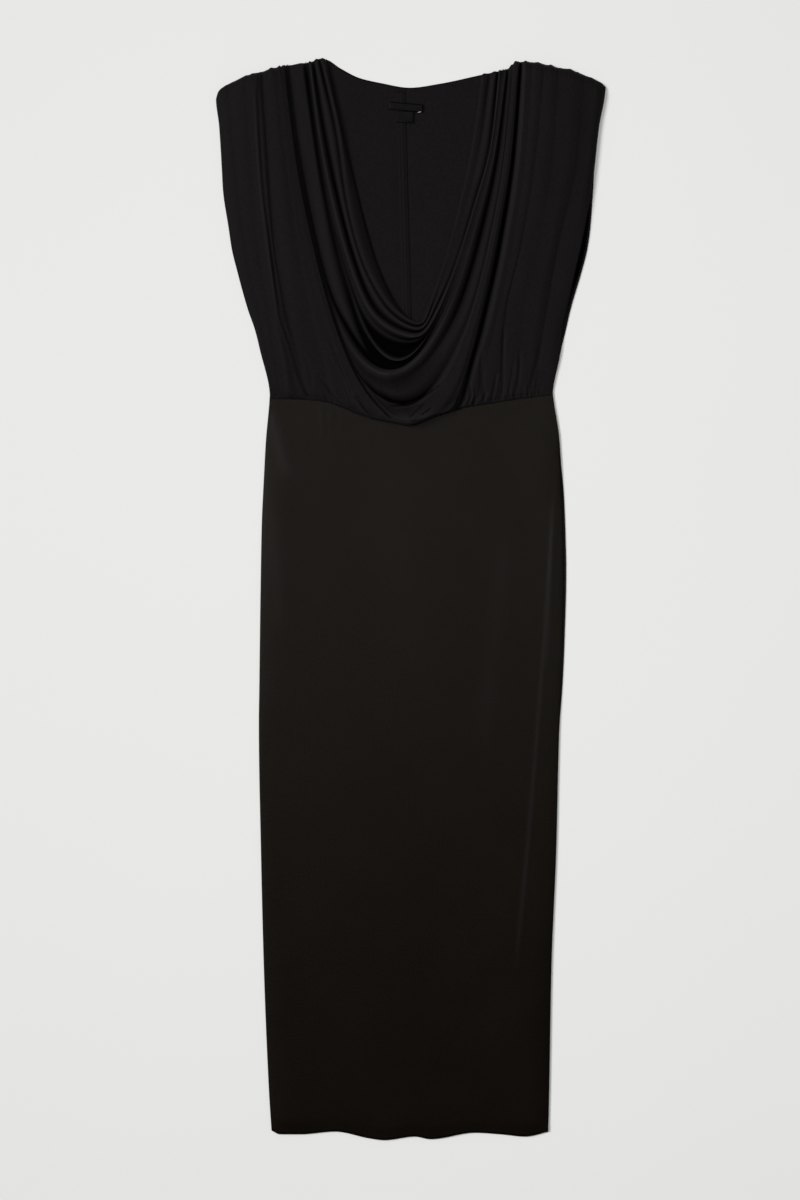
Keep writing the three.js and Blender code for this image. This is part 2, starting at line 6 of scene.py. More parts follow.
import bpy
import numpy as np
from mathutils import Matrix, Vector


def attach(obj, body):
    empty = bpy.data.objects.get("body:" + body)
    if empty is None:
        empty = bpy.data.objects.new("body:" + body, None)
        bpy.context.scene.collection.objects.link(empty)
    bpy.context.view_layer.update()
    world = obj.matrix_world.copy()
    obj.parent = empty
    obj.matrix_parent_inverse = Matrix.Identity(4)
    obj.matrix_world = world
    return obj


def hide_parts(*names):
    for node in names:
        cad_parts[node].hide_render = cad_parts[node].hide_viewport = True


MM = 0.001

# Cloth layers
WALL = 1.2                # one layer of jersey with its nap
GAP = 0.3                 # air between pieces
BACK_TOP = WALL           # upper face of the back pieces
FRONT_FLOOR = BACK_TOP + GAP  # nothing of the front reaches lower
FRONT_LOW = FRONT_FLOOR + WALL  # outer face of the front where it lies flat
STEEP_WALL = 3.2          # most that a wall measures straight down on a steep slope

# Edges and seams
SHOULDER_ROUND = 16       # the padded shoulder rises over this width
BLOUSE = 5                # the bodice puffs out this far above the waist seam
ARMHOLE_LIFT = 5.5        # the free right armhole edge stands this far off the back
ARMHOLE_MIDDLE = 450      # y where it stands off the most
ARMHOLE_LENGTH = 75       # how far up and down it does so
SIDE_CREST = 264          # y of the crest above the waist seam, at the side edges
LIP_ROLL = 9              # how far the cowl's lip hangs over the seam and comes back
LIP_SAG = 1.2             # its crest lies this far below the seam in the middle
LIP_WIDTH = 45
LIP_LEFT = 42             # the lip overhangs the seam this far to each side
LIP_RIGHT = 22
CENTRE = 3                # x of the lowest point of the cowl
VALLEY_CUSP = 0.3         # how tight the valleys between folds are, 0 to 1
FLANK_WAVE = 0.75         # how much the flanks of a fold follow a wave
NARROW_FLANKS = 0.7       # how straight the flanks of a narrow fold are
SEAM_RISE = 1             # folds stand up past the shoulder seam this far
SEAM_DIP = 0.8            # and valleys end this far short of it
SEAM_LAP = 2.5            # the skirt's top edge reaches under the bodice
HEM_DEPTH = 20
HEM_WALL = 2.1            # the hem is turned up once
HEM_DENT = 0.35           # its stitches draw the cloth in
HEM_STITCHES = (-176, 171)  # x of their ends
BACK_SEAM_X = -2.3        # centre back seam, half way down the bodice
BACK_SEAM_MIDDLE = 449    # y half way down
BACK_SEAM_SLANT = 0.027   # it lies a little aslant, as the bodice does
SEAM_SLIT = 0.02          # width of the line that the centre back seam shows

# How finely the cloth is divided
STRIPS = 4                # strips of cloth in each step of the tables below
ROWS = 5                  # rows of cloth in each row of the tables below
SKIRT_COLUMNS = 190
SKIRT_ROWS = 230
BACK_COLUMNS = 60
BACK_ROWS = 150
EDGE_COLUMNS = [0.0006, 0.972, 0.977, 0.982, 0.987, 0.991, 0.9955, 0.9994]  # more near the back's edges

# Marks on the points of the cloth, which the jersey's material reads as painted shade and painted
# highlight
PAINTED_SHADE_REACH = 60      # how many strips away higher cloth still adds painted shade to a fold
LEAST_RUN = 0.4           # added to each run across the folds, so that no slope is endless
DEEP_START = 4            # a fold gets extra painted shade from this far below the crests beside it
DEEP_RAMP = 10
DEEP_SHARE = 0.75
HIGHLIGHT_TURN = 1.6          # a crest whose slope turns by this much gets the full painted highlight
LIP_HIGHLIGHT_SHARE = 0.5           # the lip of the cowl gets this much painted highlight
LIP_MIDDLE = 8
LIP_HALF = 52
LIP_BAND = 7
STREAK_HIGHLIGHT_SHARE = 1.1        # how much painted highlight a raised streak of the skirt gets

# Side outline by height: both front edges, and the right edge of the back where it shows beyond.
OUTLINE_COLUMNS = "y left right back"
OUTLINE = [
    (668, -254, 252.5, 252.5),
    (650, -254, 250.5, 250.5),
    (615, -250, 243.8, 244),
    (558, -246.4, 237.3, 237.6),
    (532, -245, 234, 236),
    (480, -237.3, 224.5, 232),
    (454, -233.4, 219.2, 228.2),
    (428, -227, 213.2, 221.7),
    (376, -212.6, 201.5, 206.5),
    (350, -203.5, 195.7, 200.5),
    (324, -197, 193.8, 194.4),
    (262, -184, 183, 183.3),
    (194, -189.2, 191.8, 192),
    (142, -192, 195, 197.5),
    (90, -194.4, 196.8, 199.8),
    (38, -195.5, 197.8, 200.9),
    (-66, -197, 195.8, 198.3),
    (-118, -197.6, 194, 195.7),
    (-170, -198.3, 191.6, 192),
    (-326, -195.7, 187.7, 188),
    (-482, -191.8, 181.4, 181.7),
    (-638, -185.3, 178.6, 178.9),
    (-704, -181, 177, 177.3),
]

# Outlines as (x, y) points, left to right: shoulder seams and back neck, waist seam, hem edge.
TOP = [
    (-254, 649), (-251.5, 658), (-246, 664), (-226, 674.5), (-197, 684), (-171, 691.5), (-132, 697),
    (-119, 702), (-111, 701), (-93, 689.7), (-67, 676.7), (-41, 670.6), (-2, 664.3), (37, 669.5),
    (89, 680.6), (115, 686), (124, 688), (135, 697), (154, 697.5), (189, 690.5), (209, 686.5),
    (232, 677.3), (247, 670), (252.5, 664),
]
WAIST = [
    (-186, 260), (-145, 259.4), (-112, 256), (-86, 247), (-67, 238.6), (-43, 232.8), (0, 234),
    (37, 239.2), (70, 248.3), (102, 253.5), (141, 260), (186, 265.4),
]
HEM = [
    (-182, -690), (-171, -695), (-145, -695), (-100, -691.5), (-54, -700.5), (-36, -702.7), (4, -698),
    (24, -701.4), (82, -693), (115, -695), (147, -698), (178, -691.5),
]

# How far down its length each line is given in the tables below: l1 to l4, then the lowest point.
STATIONS = [0, 0.169, 0.343, 0.525, 0.714, 1]
BODICE_ROWS = [0, 0.008, 0.02, 0.042, 0.075, 0.115, 0.165, 0.215, 0.27, 0.325, 0.38, 0.43, 0.485,
               0.54, 0.595, 0.65, 0.7, 0.75, 0.8, 0.85, 0.9, 0.925, 0.95, 0.975, 1]
ROLL_ROWS = 4             # rows from the crest over the lip to the waist seam

# Cowl lines, from the neck edge outwards. Each hangs from the left shoulder seam (l0) through l1..l4
# to its lowest point (x, y) and up through r4..r1 to the right shoulder seam (r0). zls, zl, zb, zr
# and zrs are its heights at the left shoulder, left arm, bottom, right arm and right shoulder.
# ridge is 1 on a round crest, 2 on a narrow one, 0 in a valley. steps, times STRIPS, is the number of
# strips to the next line.
COWL_COLUMNS = "ridge steps l0 l1 l2 l3 l4 x y r4 r3 r2 r1 r0 zls zl zb zr zrs"
COWL = {
    "neck edge": (0, 2, -110.5, -89, -68.5, -48.5, -26, 6, 362, 24, 42, 60.5, 77, 90,
        6, 3.2, 4.6, 3.8, 5),
    "first fold": (1, 1, -115.5, -93.5, -81, -62, -33.5, 11, 356.5, 26.5, 43.5, 63, 81, 94,
        10, 10.2, 13, 8, 8.5),
    "slit": (0, 1, -120, -98, -85, -65.5, -37.5, 6, 353.8, 29, 48.5, 70.5, 90, 101.5,
        6, 8.4, 8.5, 8, 5.5),
    "second fold": (1, 1, -124, -104, -88.5, -68, -40.5, 9, 350, 31, 52.5, 75, 96, 107.5,
        10.5, 9.8, 13.5, 8, 9.5),
    "first valley": (0, 1, -128.5, -112.5, -93.5, -72.5, -48.5, 5, 345.8, 32, 55.5, 79, 102.5, 112.5,
        6, 4, 8, 6.5, 5.5),
    "third fold": (1, 1, -132, -118.5, -100, -78, -52, 4, 339, 33.5, 56.5, 80, 104, 115,
        12, 11.5, 19.5, 11.5, 11),
    "thin slit": (0, 1, -134.5, -121, -104, -82, -57, -1, 336.5, 34.5, 57.5, 81.5, 105, 116.5,
        8, 7, 10.5, 11, 10.4),
    "thin fold": (2, 1, -135.5, -121.5, -104.5, -82.5, -59, -4, 333.8, 34.5, 58, 82, 105.5, 117,
        7.6, 6.5, 12.5, 11.1, 10.6),
    "deep valley": (0, 1, -136, -122, -104, -81, -56.5, -12, 321, 28.5, 55.5, 81, 105, 118,
        7, 5, 3.6, 10.6, 10.4),
    "low fold": (2, 1, -137, -122.5, -104, -81, -57, -18, 308.8, 23, 53.5, 80, 105, 118.5,
        7, 5.2, 14, 11.2, 10.8),
    "dark valley": (0, 1, -138.5, -123.5, -105, -84, -62.5, -21, 304.8, 22, 53.5, 80.5, 105.5, 119.5,
        6.5, 3.8, 3.6, 11, 10.8),
    "inner fold": (1, 1, -143.5, -128, -112.5, -94, -68.5, -24, 301.6, 22, 54, 81, 106, 120,
        11.5, 9.6, 4.6, 11.6, 11.4),
    "outer valley": (0, 1, -160.5, -147, -128, -105.5, -73.5, -27, 298.4, 21.5, 54.5, 81, 106.5, 121,
        8.5, 5, 3.8, 11.6, 11.4),
    "great fold": (1, 1, -161.5, -147.5, -128, -107, -79.5, -30, 290.6, 23, 55, 81.5, 107, 122,
        9, 6.2, 31, 13.4, 13.2),
    "fold back": (0, 1, -162.2, -148, -127.5, -107, -80, -28, 282, 29.5, 62.5, 89, 111, 125,
        9.5, 6, 26.5, 5.5, 8),
    "shaded band": (1, 2, -163, -148.3, -127, -104.5, -75, -20, 268, 35, 73.5, 98.5, 118.5, 129.5,
        10, 6.4, 19.5, 10.8, 12),
    "inner crease": (0, 1, -163.7, -148.6, -126.5, -102, -70.5, -12, 253.5, 40, 74, 99.5, 119.5, 131.5,
        10.8, 7.4, 13.2, 10, 11.6),
    "lip pleat": (1, 5, -164.5, -149, -126.5, -101, -70, -10, 249, 48, 76.5, 102, 121.5, 134,
        12.5, 10.5, 18.5, 13.2, 13.8),
    "cowl lip": (1, 0, -166, -149.5, -125.5, -97, -63.5, -3, 229.5, 54.5, 80.5, 105, 124.5, 137,
        15.5, 15, 24, 14.2, 14.8),
}

# Side panel lines from the shoulder seam (x0) through x1..x4 to the waist (x5), with their heights
# at the shoulder, half way and waist. The cowl lip and the side edge complete each panel.
PANEL_COLUMNS = "ridge steps x0 x1 x2 x3 x4 x5 zs zm zw"
LEFT_PANEL = {
    "arm trough": (0, 2, -238.5, -227, -215, -197, -185.3, -175.5, 12, 8.2, 3.8),
    "arm swell": (1, 2, -219, -210.5, -201, -186.6, -177.5, -169.5, 15.5, 10, 4.8),
    "long fold": (1, 2, -203, -195.7, -185.3, -175, -166.4, -160.5, 17.5, 12.6, 6),
    "long crease": (0, 2, -194.5, -186.5, -178.8, -162.5, -145.6, -133.3, 14.5, 9, 4.2),
    "centre swell": (1, 2, -181.5, -169.7, -158, -147.6, -130.7, -116.5, 17.5, 12, 5.4),
    "soft trough": (0, 2, -176, -163, -147.5, -129.4, -112.5, -101, 17, 11.5, 5),
    "low swell": (1, 1, -172, -159.5, -142, -121.5, -102, -89, 17, 12.4, 7),
    "waist crease": (0, 2, -169.5, -155.5, -136.5, -113, -91, -75, 16.5, 13, 7.5),
    "cowl shoulder": (1, 4, -167.5, -152, -131.5, -105, -80.5, -50, 16, 14.8, 17),
}
RIGHT_PANEL = {
    "lip shoulder": (1, 2, 138.5, 128, 108, 86.5, 67, 42, 14.5, 13.4, 17),
    "panel valley": (0, 1, 141.5, 131, 113.5, 92, 72.5, 59, 7, 3.3, 4.5),
    "panel edge": (1, 2, 148, 140.5, 124, 104, 83, 70, 16.5, 12.8, 7),
    "gather one": (0, 2, 157, 148, 131.5, 111, 93, 80, 16.2, 12.3, 5.2),
    "swell one": (1, 2, 164.5, 154.5, 138.5, 118, 104.5, 94.5, 17.4, 12.6, 6.2),
    "gather two": (0, 2, 172.5, 160.8, 143.2, 121.6, 116.4, 110, 16.4, 11.6, 4.6),
    "swell two": (1, 2, 181.4, 171.6, 153.4, 133.3, 128, 121.6, 17.2, 12.2, 5.4),
    "gather three": (0, 2, 190.5, 182.7, 165.8, 145, 139.8, 133.3, 15.8, 11.6, 4.4),
    "swell three": (1, 2, 204.8, 197.6, 179, 160.6, 153, 149, 16, 11.5, 5),
    "arm crease": (0, 2, 223, 214.5, 191, 175, 164.5, 159.3, 13.4, 8.4, 4),
    "arm swell": (1, 3, 237, 227, 205.5, 188, 177.5, 171, 12, 8.8, 4.4),
}

# Creases. Each follows its path of (x, y) points with a valley of depth dip and a
# ridge of height rise beside it, on the left of the path as it runs, or on the right if rise < 0.
CREASE_COLUMNS = "rise dip width path"
BODICE_CREASES = [
    (-1.1, 1.6, 2.2, [(-199.6, 659), (-193, 545), (-184, 467), (-169.7, 363)]),
    (-0.5, 1.4, 1.8, [(-169.7, 363), (-153.4, 317), (-142.4, 278), (-133.3, 261)]),
    (0, 0.7, 1.6, [(-139.8, 314.6), (-133.2, 296.4), (-130.7, 282.1), (-130.7, 270.4)]),
    (0.6, 1.3, 1.8, [(-119, 286), (-112.5, 279.5), (-102, 263.9), (-87.8, 248.3)]),
    (0, 1, 1.5, [(-112.5, 265.2), (-109.9, 256.1)]),
    (-0.3, 1.1, 1.5, [(-106, 336.7), (-99.5, 314.6), (-86.5, 284.7), (-77.4, 260)]),
    (0, -0.8, 2.6, [(-171, 336.7), (-164.5, 308.1), (-161.8, 284.7), (-160.6, 263.9)]),
    (0, 0.5, 1.5, [(-168.3, 291.2), (-165.8, 271.7)]),
    (0, 0.6, 1.6, [(-156.7, 292.5), (-151.5, 278.2), (-147.6, 265.2)]),
    (0, 2, 2.2, [(-76, 260), (-69.5, 258.7), (-59.1, 245.7), (-44.9, 234.7)]),
    (0.7, 1.6, 1.5, [(75.4, 275.6), (76.7, 263.9), (74.1, 256.1), (70.9, 248.3)]),
    (0, 1.3, 1.8, [(83.9, 262.6), (81.2, 257.4), (79.3, 250.9)]),
    (0.7, 1.6, 1.6, [(96.9, 269.1), (94.2, 261.3), (89.7, 251.6)]),
    (0.5, 1.2, 1.7, [(109.9, 291.2), (107.2, 274.3), (104.7, 262.6), (102, 253.5)]),
    (0, 1.3, 1.8, [(119, 349.7), (117.7, 323.7), (117.7, 278.2), (113.8, 254.8)]),
    (0, 1, 1.5, [(132, 308.1), (129.3, 287.3), (126.1, 270.4), (124.2, 256.1)]),
    (0, 1.1, 1.7, [(139.8, 321.1), (139.1, 295.1), (135.8, 274.3), (132.6, 258.7)]),
    (0, 0.7, 1.3, [(142.3, 276.9), (143.7, 260)]),
    (0, 0.7, 1.2, [(151.5, 276.9), (150.2, 261.3)]),
    (0, 0.9, 2.6, [(167.1, 330.2), (161.8, 305.5), (156.7, 286), (151.5, 265.2)]),
    (0, 0.6, 1.2, [(168.3, 278.2), (164.5, 265.2)]),
    (0, 1, 3, [(90.4, 321.1), (90.4, 295.1), (91.7, 274.3), (93, 261.3)]),
    (0, 1.4, 1.4, [(46.1, 243.1), (48.8, 251.6), (52.6, 255.5), (56.6, 254.2)]),
    (0, 1.2, 1.5, [(59.8, 262.6), (57.9, 245.7)]),
    (0, 2.4, 1.1, [(-27, 250), (-4.5, 251), (17.6, 264), (41, 280)]),
    (0.8, 3.4, 1.7, [(-60, 272), (-42, 250), (-27, 235), (-18, 231)]),
    (0, 1.7, 1.6, [(-2, 232.7), (3, 239.8), (10, 246.1), (19, 254)]),
    (0.4, 1.3, 1.4, [(13, 237.9), (19.5, 242.5), (27, 248.5)]),
]
# x where the gathered shoulder seams stand up a little.
SEAM_BUMPS = [
    -215, -207, -196, -183, -171, -160.4, -139, -133, 114, 119, 135, 142, 148, 181, 193, 207, 216.5,
]
BUMP = 0.9                # how far up, and how wide
BUMP_WIDTH = 1.8
GATHER = 0.45             # height of the small waves along both gathered seams
FRONT_SWELL = 0.28        # soft unevenness of the relaxed front
BACK_SWELL = 0.16         # and of the back
BACK_SWELL_END = 400      # y below which the back is flat
# Raised streaks and pulls of the skirt have a dip below 0.
SKIRT_CREASES = [
    (0, -0.3, 3, [(187, 150), (178, 10), (166, -150), (151, -330), (136, -480)]),
    (0, -0.22, 3, [(183, 120), (180, 0), (176, -90)]),
    (0, -0.35, 8, [(-183, 246), (-160, 158)]),
    (0, -0.15, 9, [(-178, 110), (-170, -40)]),
    (0, -0.12, 12, [(122, 92), (94, -190)]),
    (0, -0.12, 2.4, [(-116.4, 253.5), (-116.4, 206.7)]),
    (0, -0.12, 2.4, [(-106, 253.5), (-104.7, 196.3)]),
    (0, -0.12, 2.4, [(-93, 248.3), (-91.7, 206.7)]),
]
BACK_CREASES = [
    (0.5, 0.5, 1.2, [(37.1, 665.6), (56.6, 670.1), (90.4, 668.9), (104, 668)]),
    (0, -0.25, 6, [(-16, 610), (-15, 380)]),
]
SKIRT_CREST = 4.6         # height of the skirt's outer face between its edges
SKIRT_EDGE_ROUND = 22
SKIRT_SWELL = 0.12        # soft unevenness of the relaxed skirt
SKIRT_SHELF = 14          # the skirt stays low under the cowl, then rises
SKIRT_RAMP = 85
SKIRT_SIDE_TOP = 252      # y of its side edges at the waist and at the hem
SKIRT_SIDE_END = -696

LABEL = {"x": -7.3, "y": 639, "width": 44, "height": 10, "wall": 1, "tilt": -0.09}
SIZE_TAB = {"x": -8.7, "y": 625.9, "width": 22, "height": 14.4, "wall": 1, "tilt": -0.04}
ALLOWANCE = {"x": BACK_SEAM_X - 6.5, "y": BACK_SEAM_MIDDLE, "width": 13, "height": 422, "wall": 1,
             "tilt": BACK_SEAM_SLANT}
ALLOWANCE_Z = BACK_TOP + GAP
ALLOWANCE_REACH = 16      # the front clears the allowance this far from its middle
ALLOWANCE_RAMP = 8
ALLOWANCE_CLEAR = 8       # the back stays flat this far from it
THREAD_RIDGE = 0.2        # height and spacing of the ridges that its rows of thread make
THREAD_ROWS = 4.3
PRESSED = 1.4             # its right edge is pressed down, this much and over this width
PRESSED_WIDTH = 2.4
LABEL_CLEAR = 30          # the back stays flat this far from the label's middle
LABEL_RAMP = 14
OVER_ALLOWANCE = ALLOWANCE_Z + ALLOWANCE["wall"] + GAP  # where the labels lie, and the front over it
TACK = [(17.0, -5.6), (19.2, -4.9)]  # the label's one white stitch, from the label's middle
THREAD_LIFT = 0.05        # the middle of a thread lies this far above its cloth
END_INSET = 1.5           # the label's stitches, from its ends and from its long edges
EDGE_INSET = 1.2

# Looks
PAINTED_HIGHLIGHT_COLOUR = (0.014, 0.0125, 0.0125, 1)   # painted highlight of the jersey on crests, along the cowl's lip and on the skirt's raised streaks
PAINTED_SHADE_COLOUR = (0.0003, 0.0003, 0.0003, 1)    # painted shade deep between folds and where the back shows past the armhole
LAMP_AIM = Vector((0, 0.1, 0))
FLOOR_HALF = 4000


def curve(knots, values):
    """Smooth curve through the given knots that never overshoots them."""
    knots = np.array(knots, float)
    values = np.array(values, float)
    slopes = np.diff(values) / np.diff(knots)
    before, after = slopes[:-1], slopes[1:]
    same_way = before * after > 0
    harmonic = 2 * before * after / np.where(same_way, before + after, 1)
    tangents = np.concatenate([slopes[:1], np.where(same_way, harmonic, 0), slopes[-1:]])

    def at(x):
        x = np.asarray(x, float)
        i = np.clip(np.searchsorted(knots, x) - 1, 0, len(knots) - 2)
        span = knots[i + 1] - knots[i]
        t = np.clip((x - knots[i]) / span, 0, 1)
        back = 1 - t
        return (values[i] * (1 + 2 * t) * back**2 + tangents[i] * span * t * back**2
                + values[i + 1] * (3 - 2 * t) * t**2 - tangents[i + 1] * span * t**2 * back)

    return at


def named_rows(columns, rows):
    return [dict(zip(columns.split(), row)) for row in rows]


def outline_curve(side):
    """Side edge of the cloth as a function of its height in the picture."""
    rows = named_rows(OUTLINE_COLUMNS, OUTLINE[::-1])
    return curve([row["y"] for row in rows], [row[side] for row in rows])


left_edge = outline_curve("left")
right_edge = outline_curve("right")
back_right_edge = outline_curve("back")
top_edge = curve(*zip(*TOP))
waist_seam = curve(*zip(*WAIST))
hem_edge = curve(*zip(*HEM))


def mix(a, b, t):
    return a + (b - a) * t


def bell(distance, width):
    return np.exp(-((distance / width) ** 2))


def quarter_round(part):
    return np.sqrt(1 - (1 - np.clip(part, 0, 1)) ** 2)


def smooth(part):
    t = np.clip(part, 0, 1)
    return t * t * (3 - 2 * t)


def drop(s):
    """Share of a hanging line's drop reached at each part of its length; level at its lowest point."""
    return 0.3 * (1 - (1 - s) ** 2) + 0.7 * np.sin(s * np.pi / 2)


def crest_row(x):
    """The bodice's crest runs a little above the waist seam, and below it under the cowl."""
    return waist_seam(x) + BLOUSE - (BLOUSE + LIP_SAG) * bell(x - CENTRE, LIP_WIDTH)


def points(x, y, z):
    return np.stack(np.broadcast_arrays(np.asarray(x, float), y, z), axis=-1)


def hanging_points(s, x, start_x, end_y, heights, ridge):
    """Points of one line of the bodice, from its place on the shoulder seam down to its end."""
    start_y = top_edge(start_x) + (SEAM_RISE if ridge else -SEAM_DIP)
    y = mix(start_y, end_y, drop(s))
    rise = quarter_round((start_y - y) / SHOULDER_ROUND)
    return points(x, y, mix(FRONT_LOW + 0.1, curve([0, 0.45, 1], heights)(s), rise))


def cowl_points(row, s):
    """A cowl line from shoulder to shoulder: s runs from 0 to 1 at the bottom and on to 2."""
    knots = STATIONS + [2 - station for station in STATIONS[-2::-1]]
    x = curve(knots, [row[name] for name in "l0 l1 l2 l3 l4 x r4 r3 r2 r1 r0".split()])(s)
    left = [row["zls"], row["zl"], row["zb"]]
    right = [row["zrs"], row["zr"], row["zb"]]
    down = hanging_points(np.minimum(s, 1), x, row["l0"], row["y"], left, row["ridge"])
    up = hanging_points(np.minimum(2 - s, 1), x, row["r0"], row["y"], right, row["ridge"])
    return np.where((s <= 1)[:, None], down, up)


def panel_points(row, s):
    x = curve(STATIONS, [row[name] for name in "x0 x1 x2 x3 x4 x5".split()])(s)
    heights = [row["zs"], row["zm"], row["zw"]]
    return hanging_points(s, x, row["x0"], crest_row(row["x5"]), heights, row["ridge"])


def side_points(edge, start_y, lift, s):
    """The free side edge of a panel follows the outline, and may stand off the back."""
    y = mix(start_y, crest_row(edge(SIDE_CREST)), drop(s))
    return points(edge(y), y, FRONT_LOW + 0.1 + lift * bell(y - ARMHOLE_MIDDLE, ARMHOLE_LENGTH))


def between(first, second, s, w):
    """Points part-way between two neighbouring lines: round on crests, tighter in valleys."""
    a, b = first["points"], second["points"]
    rise = smooth(w)
    if first.get("side"):
        rise = quarter_round(w)
    elif second.get("side"):
        rise = 1 - quarter_round(1 - w)
    elif 2 in (first["ridge"], second["ridge"]):
        rise = mix(rise, w, NARROW_FLANKS)
    elif first["ridge"] != second["ridge"]:
        up = first["ridge"] == 0
        wave = np.sin(w * np.pi / 2) if up else 1 - np.cos(w * np.pi / 2)
        round_crest = quarter_round(w) if up else 1 - quarter_round(1 - w)
        rise = mix(mix(rise, wave, FLANK_WAVE), round_crest, VALLEY_CUSP)
    made = mix(a, b, w)
    made[:, 2] = mix(a[:, 2], b[:, 2], rise)
    if first.get("side") or second.get("side"):
        seam = top_edge(mix(a[0, 0], b[0, 0], w)) - mix(a[0, 1], b[0, 1], w)
        made[:, 1] += seam * (1 - drop(s))
    return made


def strands(lines, s):
    """Grid of points across a family of lines: (strands, points along each, 3)."""
    grid = []
    for first, second in zip(lines, lines[1:]):
        count = first["steps"] * STRIPS
        grid += [between(first, second, s, k / count) for k in range(count)]
    return np.array(grid + [lines[-1]["points"]])


def roll_under(crest, count):
    """From the crest the cloth rolls down to the waist seam, and under itself at the cowl."""
    w = np.linspace(0, 1, count + 1)[1:, None]
    x, y, z = crest.T
    seam_y = waist_seam(x)
    seam_z = FRONT_LOW + GAP
    overhang = bell(x - CENTRE, np.where(x < CENTRE, LIP_LEFT, LIP_RIGHT))
    out = mix(BLOUSE * 0.5, LIP_ROLL, overhang)
    back = mix(-1, LIP_ROLL, overhang)
    lift = mix((z - seam_z) * 0.4, 1, overhang)
    c0, c1, c2, c3 = (1 - w) ** 3, 3 * w * (1 - w) ** 2, 3 * w**2 * (1 - w), w**3
    rolled_y = c0 * y + c1 * (y - out) + c2 * (seam_y - back) + c3 * seam_y
    rolled_z = c0 * z + c1 * z + c2 * (seam_z + lift) + c3 * seam_z
    return points(x, rolled_y, rolled_z).transpose(1, 0, 2)


def crease_height(x, y, creases):
    """How much the listed creases raise or lower the cloth at each point."""
    height = np.zeros_like(x)
    for crease in named_rows(CREASE_COLUMNS, creases):
        path = np.array(crease["path"], float)
        knots = np.linspace(0, 1, len(path))
        fine = np.linspace(0, 1, 4 * len(path) if len(path) > 2 else 2)
        line = np.stack([curve(knots, path[:, 0])(fine), curve(knots, path[:, 1])(fine)], axis=-1)
        best = np.full(x.shape, np.inf)
        side = np.zeros_like(x)
        along = np.zeros_like(x)
        for i, (start, end) in enumerate(zip(line, line[1:])):
            run = end - start
            t = ((x - start[0]) * run[0] + (y - start[1]) * run[1]) / (run @ run)
            held = np.clip(t, 0, 1)
            dx = x - start[0] - held * run[0]
            dy = y - start[1] - held * run[1]
            distance = np.hypot(dx, dy)
            nearer = distance < best
            best = np.where(nearer, distance, best)
            side = np.where(nearer, np.sign(run[0] * dy - run[1] * dx), side)
            along = np.where(nearer, (i + t) / (len(line) - 1), along)
        width = crease["width"]
        ends = smooth((along + 0.12) / 0.3) * smooth((1.12 - along) / 0.3)
        beside = best - np.sign(crease["rise"]) * side * 1.6 * width
        height += ends * (abs(crease["rise"]) * bell(beside, width) - crease["dip"] * bell(best, width))
    return height


def unevenness(x, y, size, seed):
    """Soft irregular swell of relaxed cloth, between about -1 and 1, from a few crossing waves."""
    random = np.random.default_rng(seed)
    total = np.zeros_like(x)
    for _ in range(7):
        angle, phase = random.uniform(0, 2 * np.pi, 2)
        wave = size * random.uniform(0.7, 1.6)
        along = x * np.cos(angle) + y * np.sin(angle) * 0.55
        total += np.sin(along * 2 * np.pi / wave + phase)
    return total / 3.2


def cell_corners(grid):
    """The four corners of every cell of a grid, in turn."""
    return [grid[:-1, :-1], grid[:-1, 1:], grid[1:, 1:], grid[1:, :-1]]


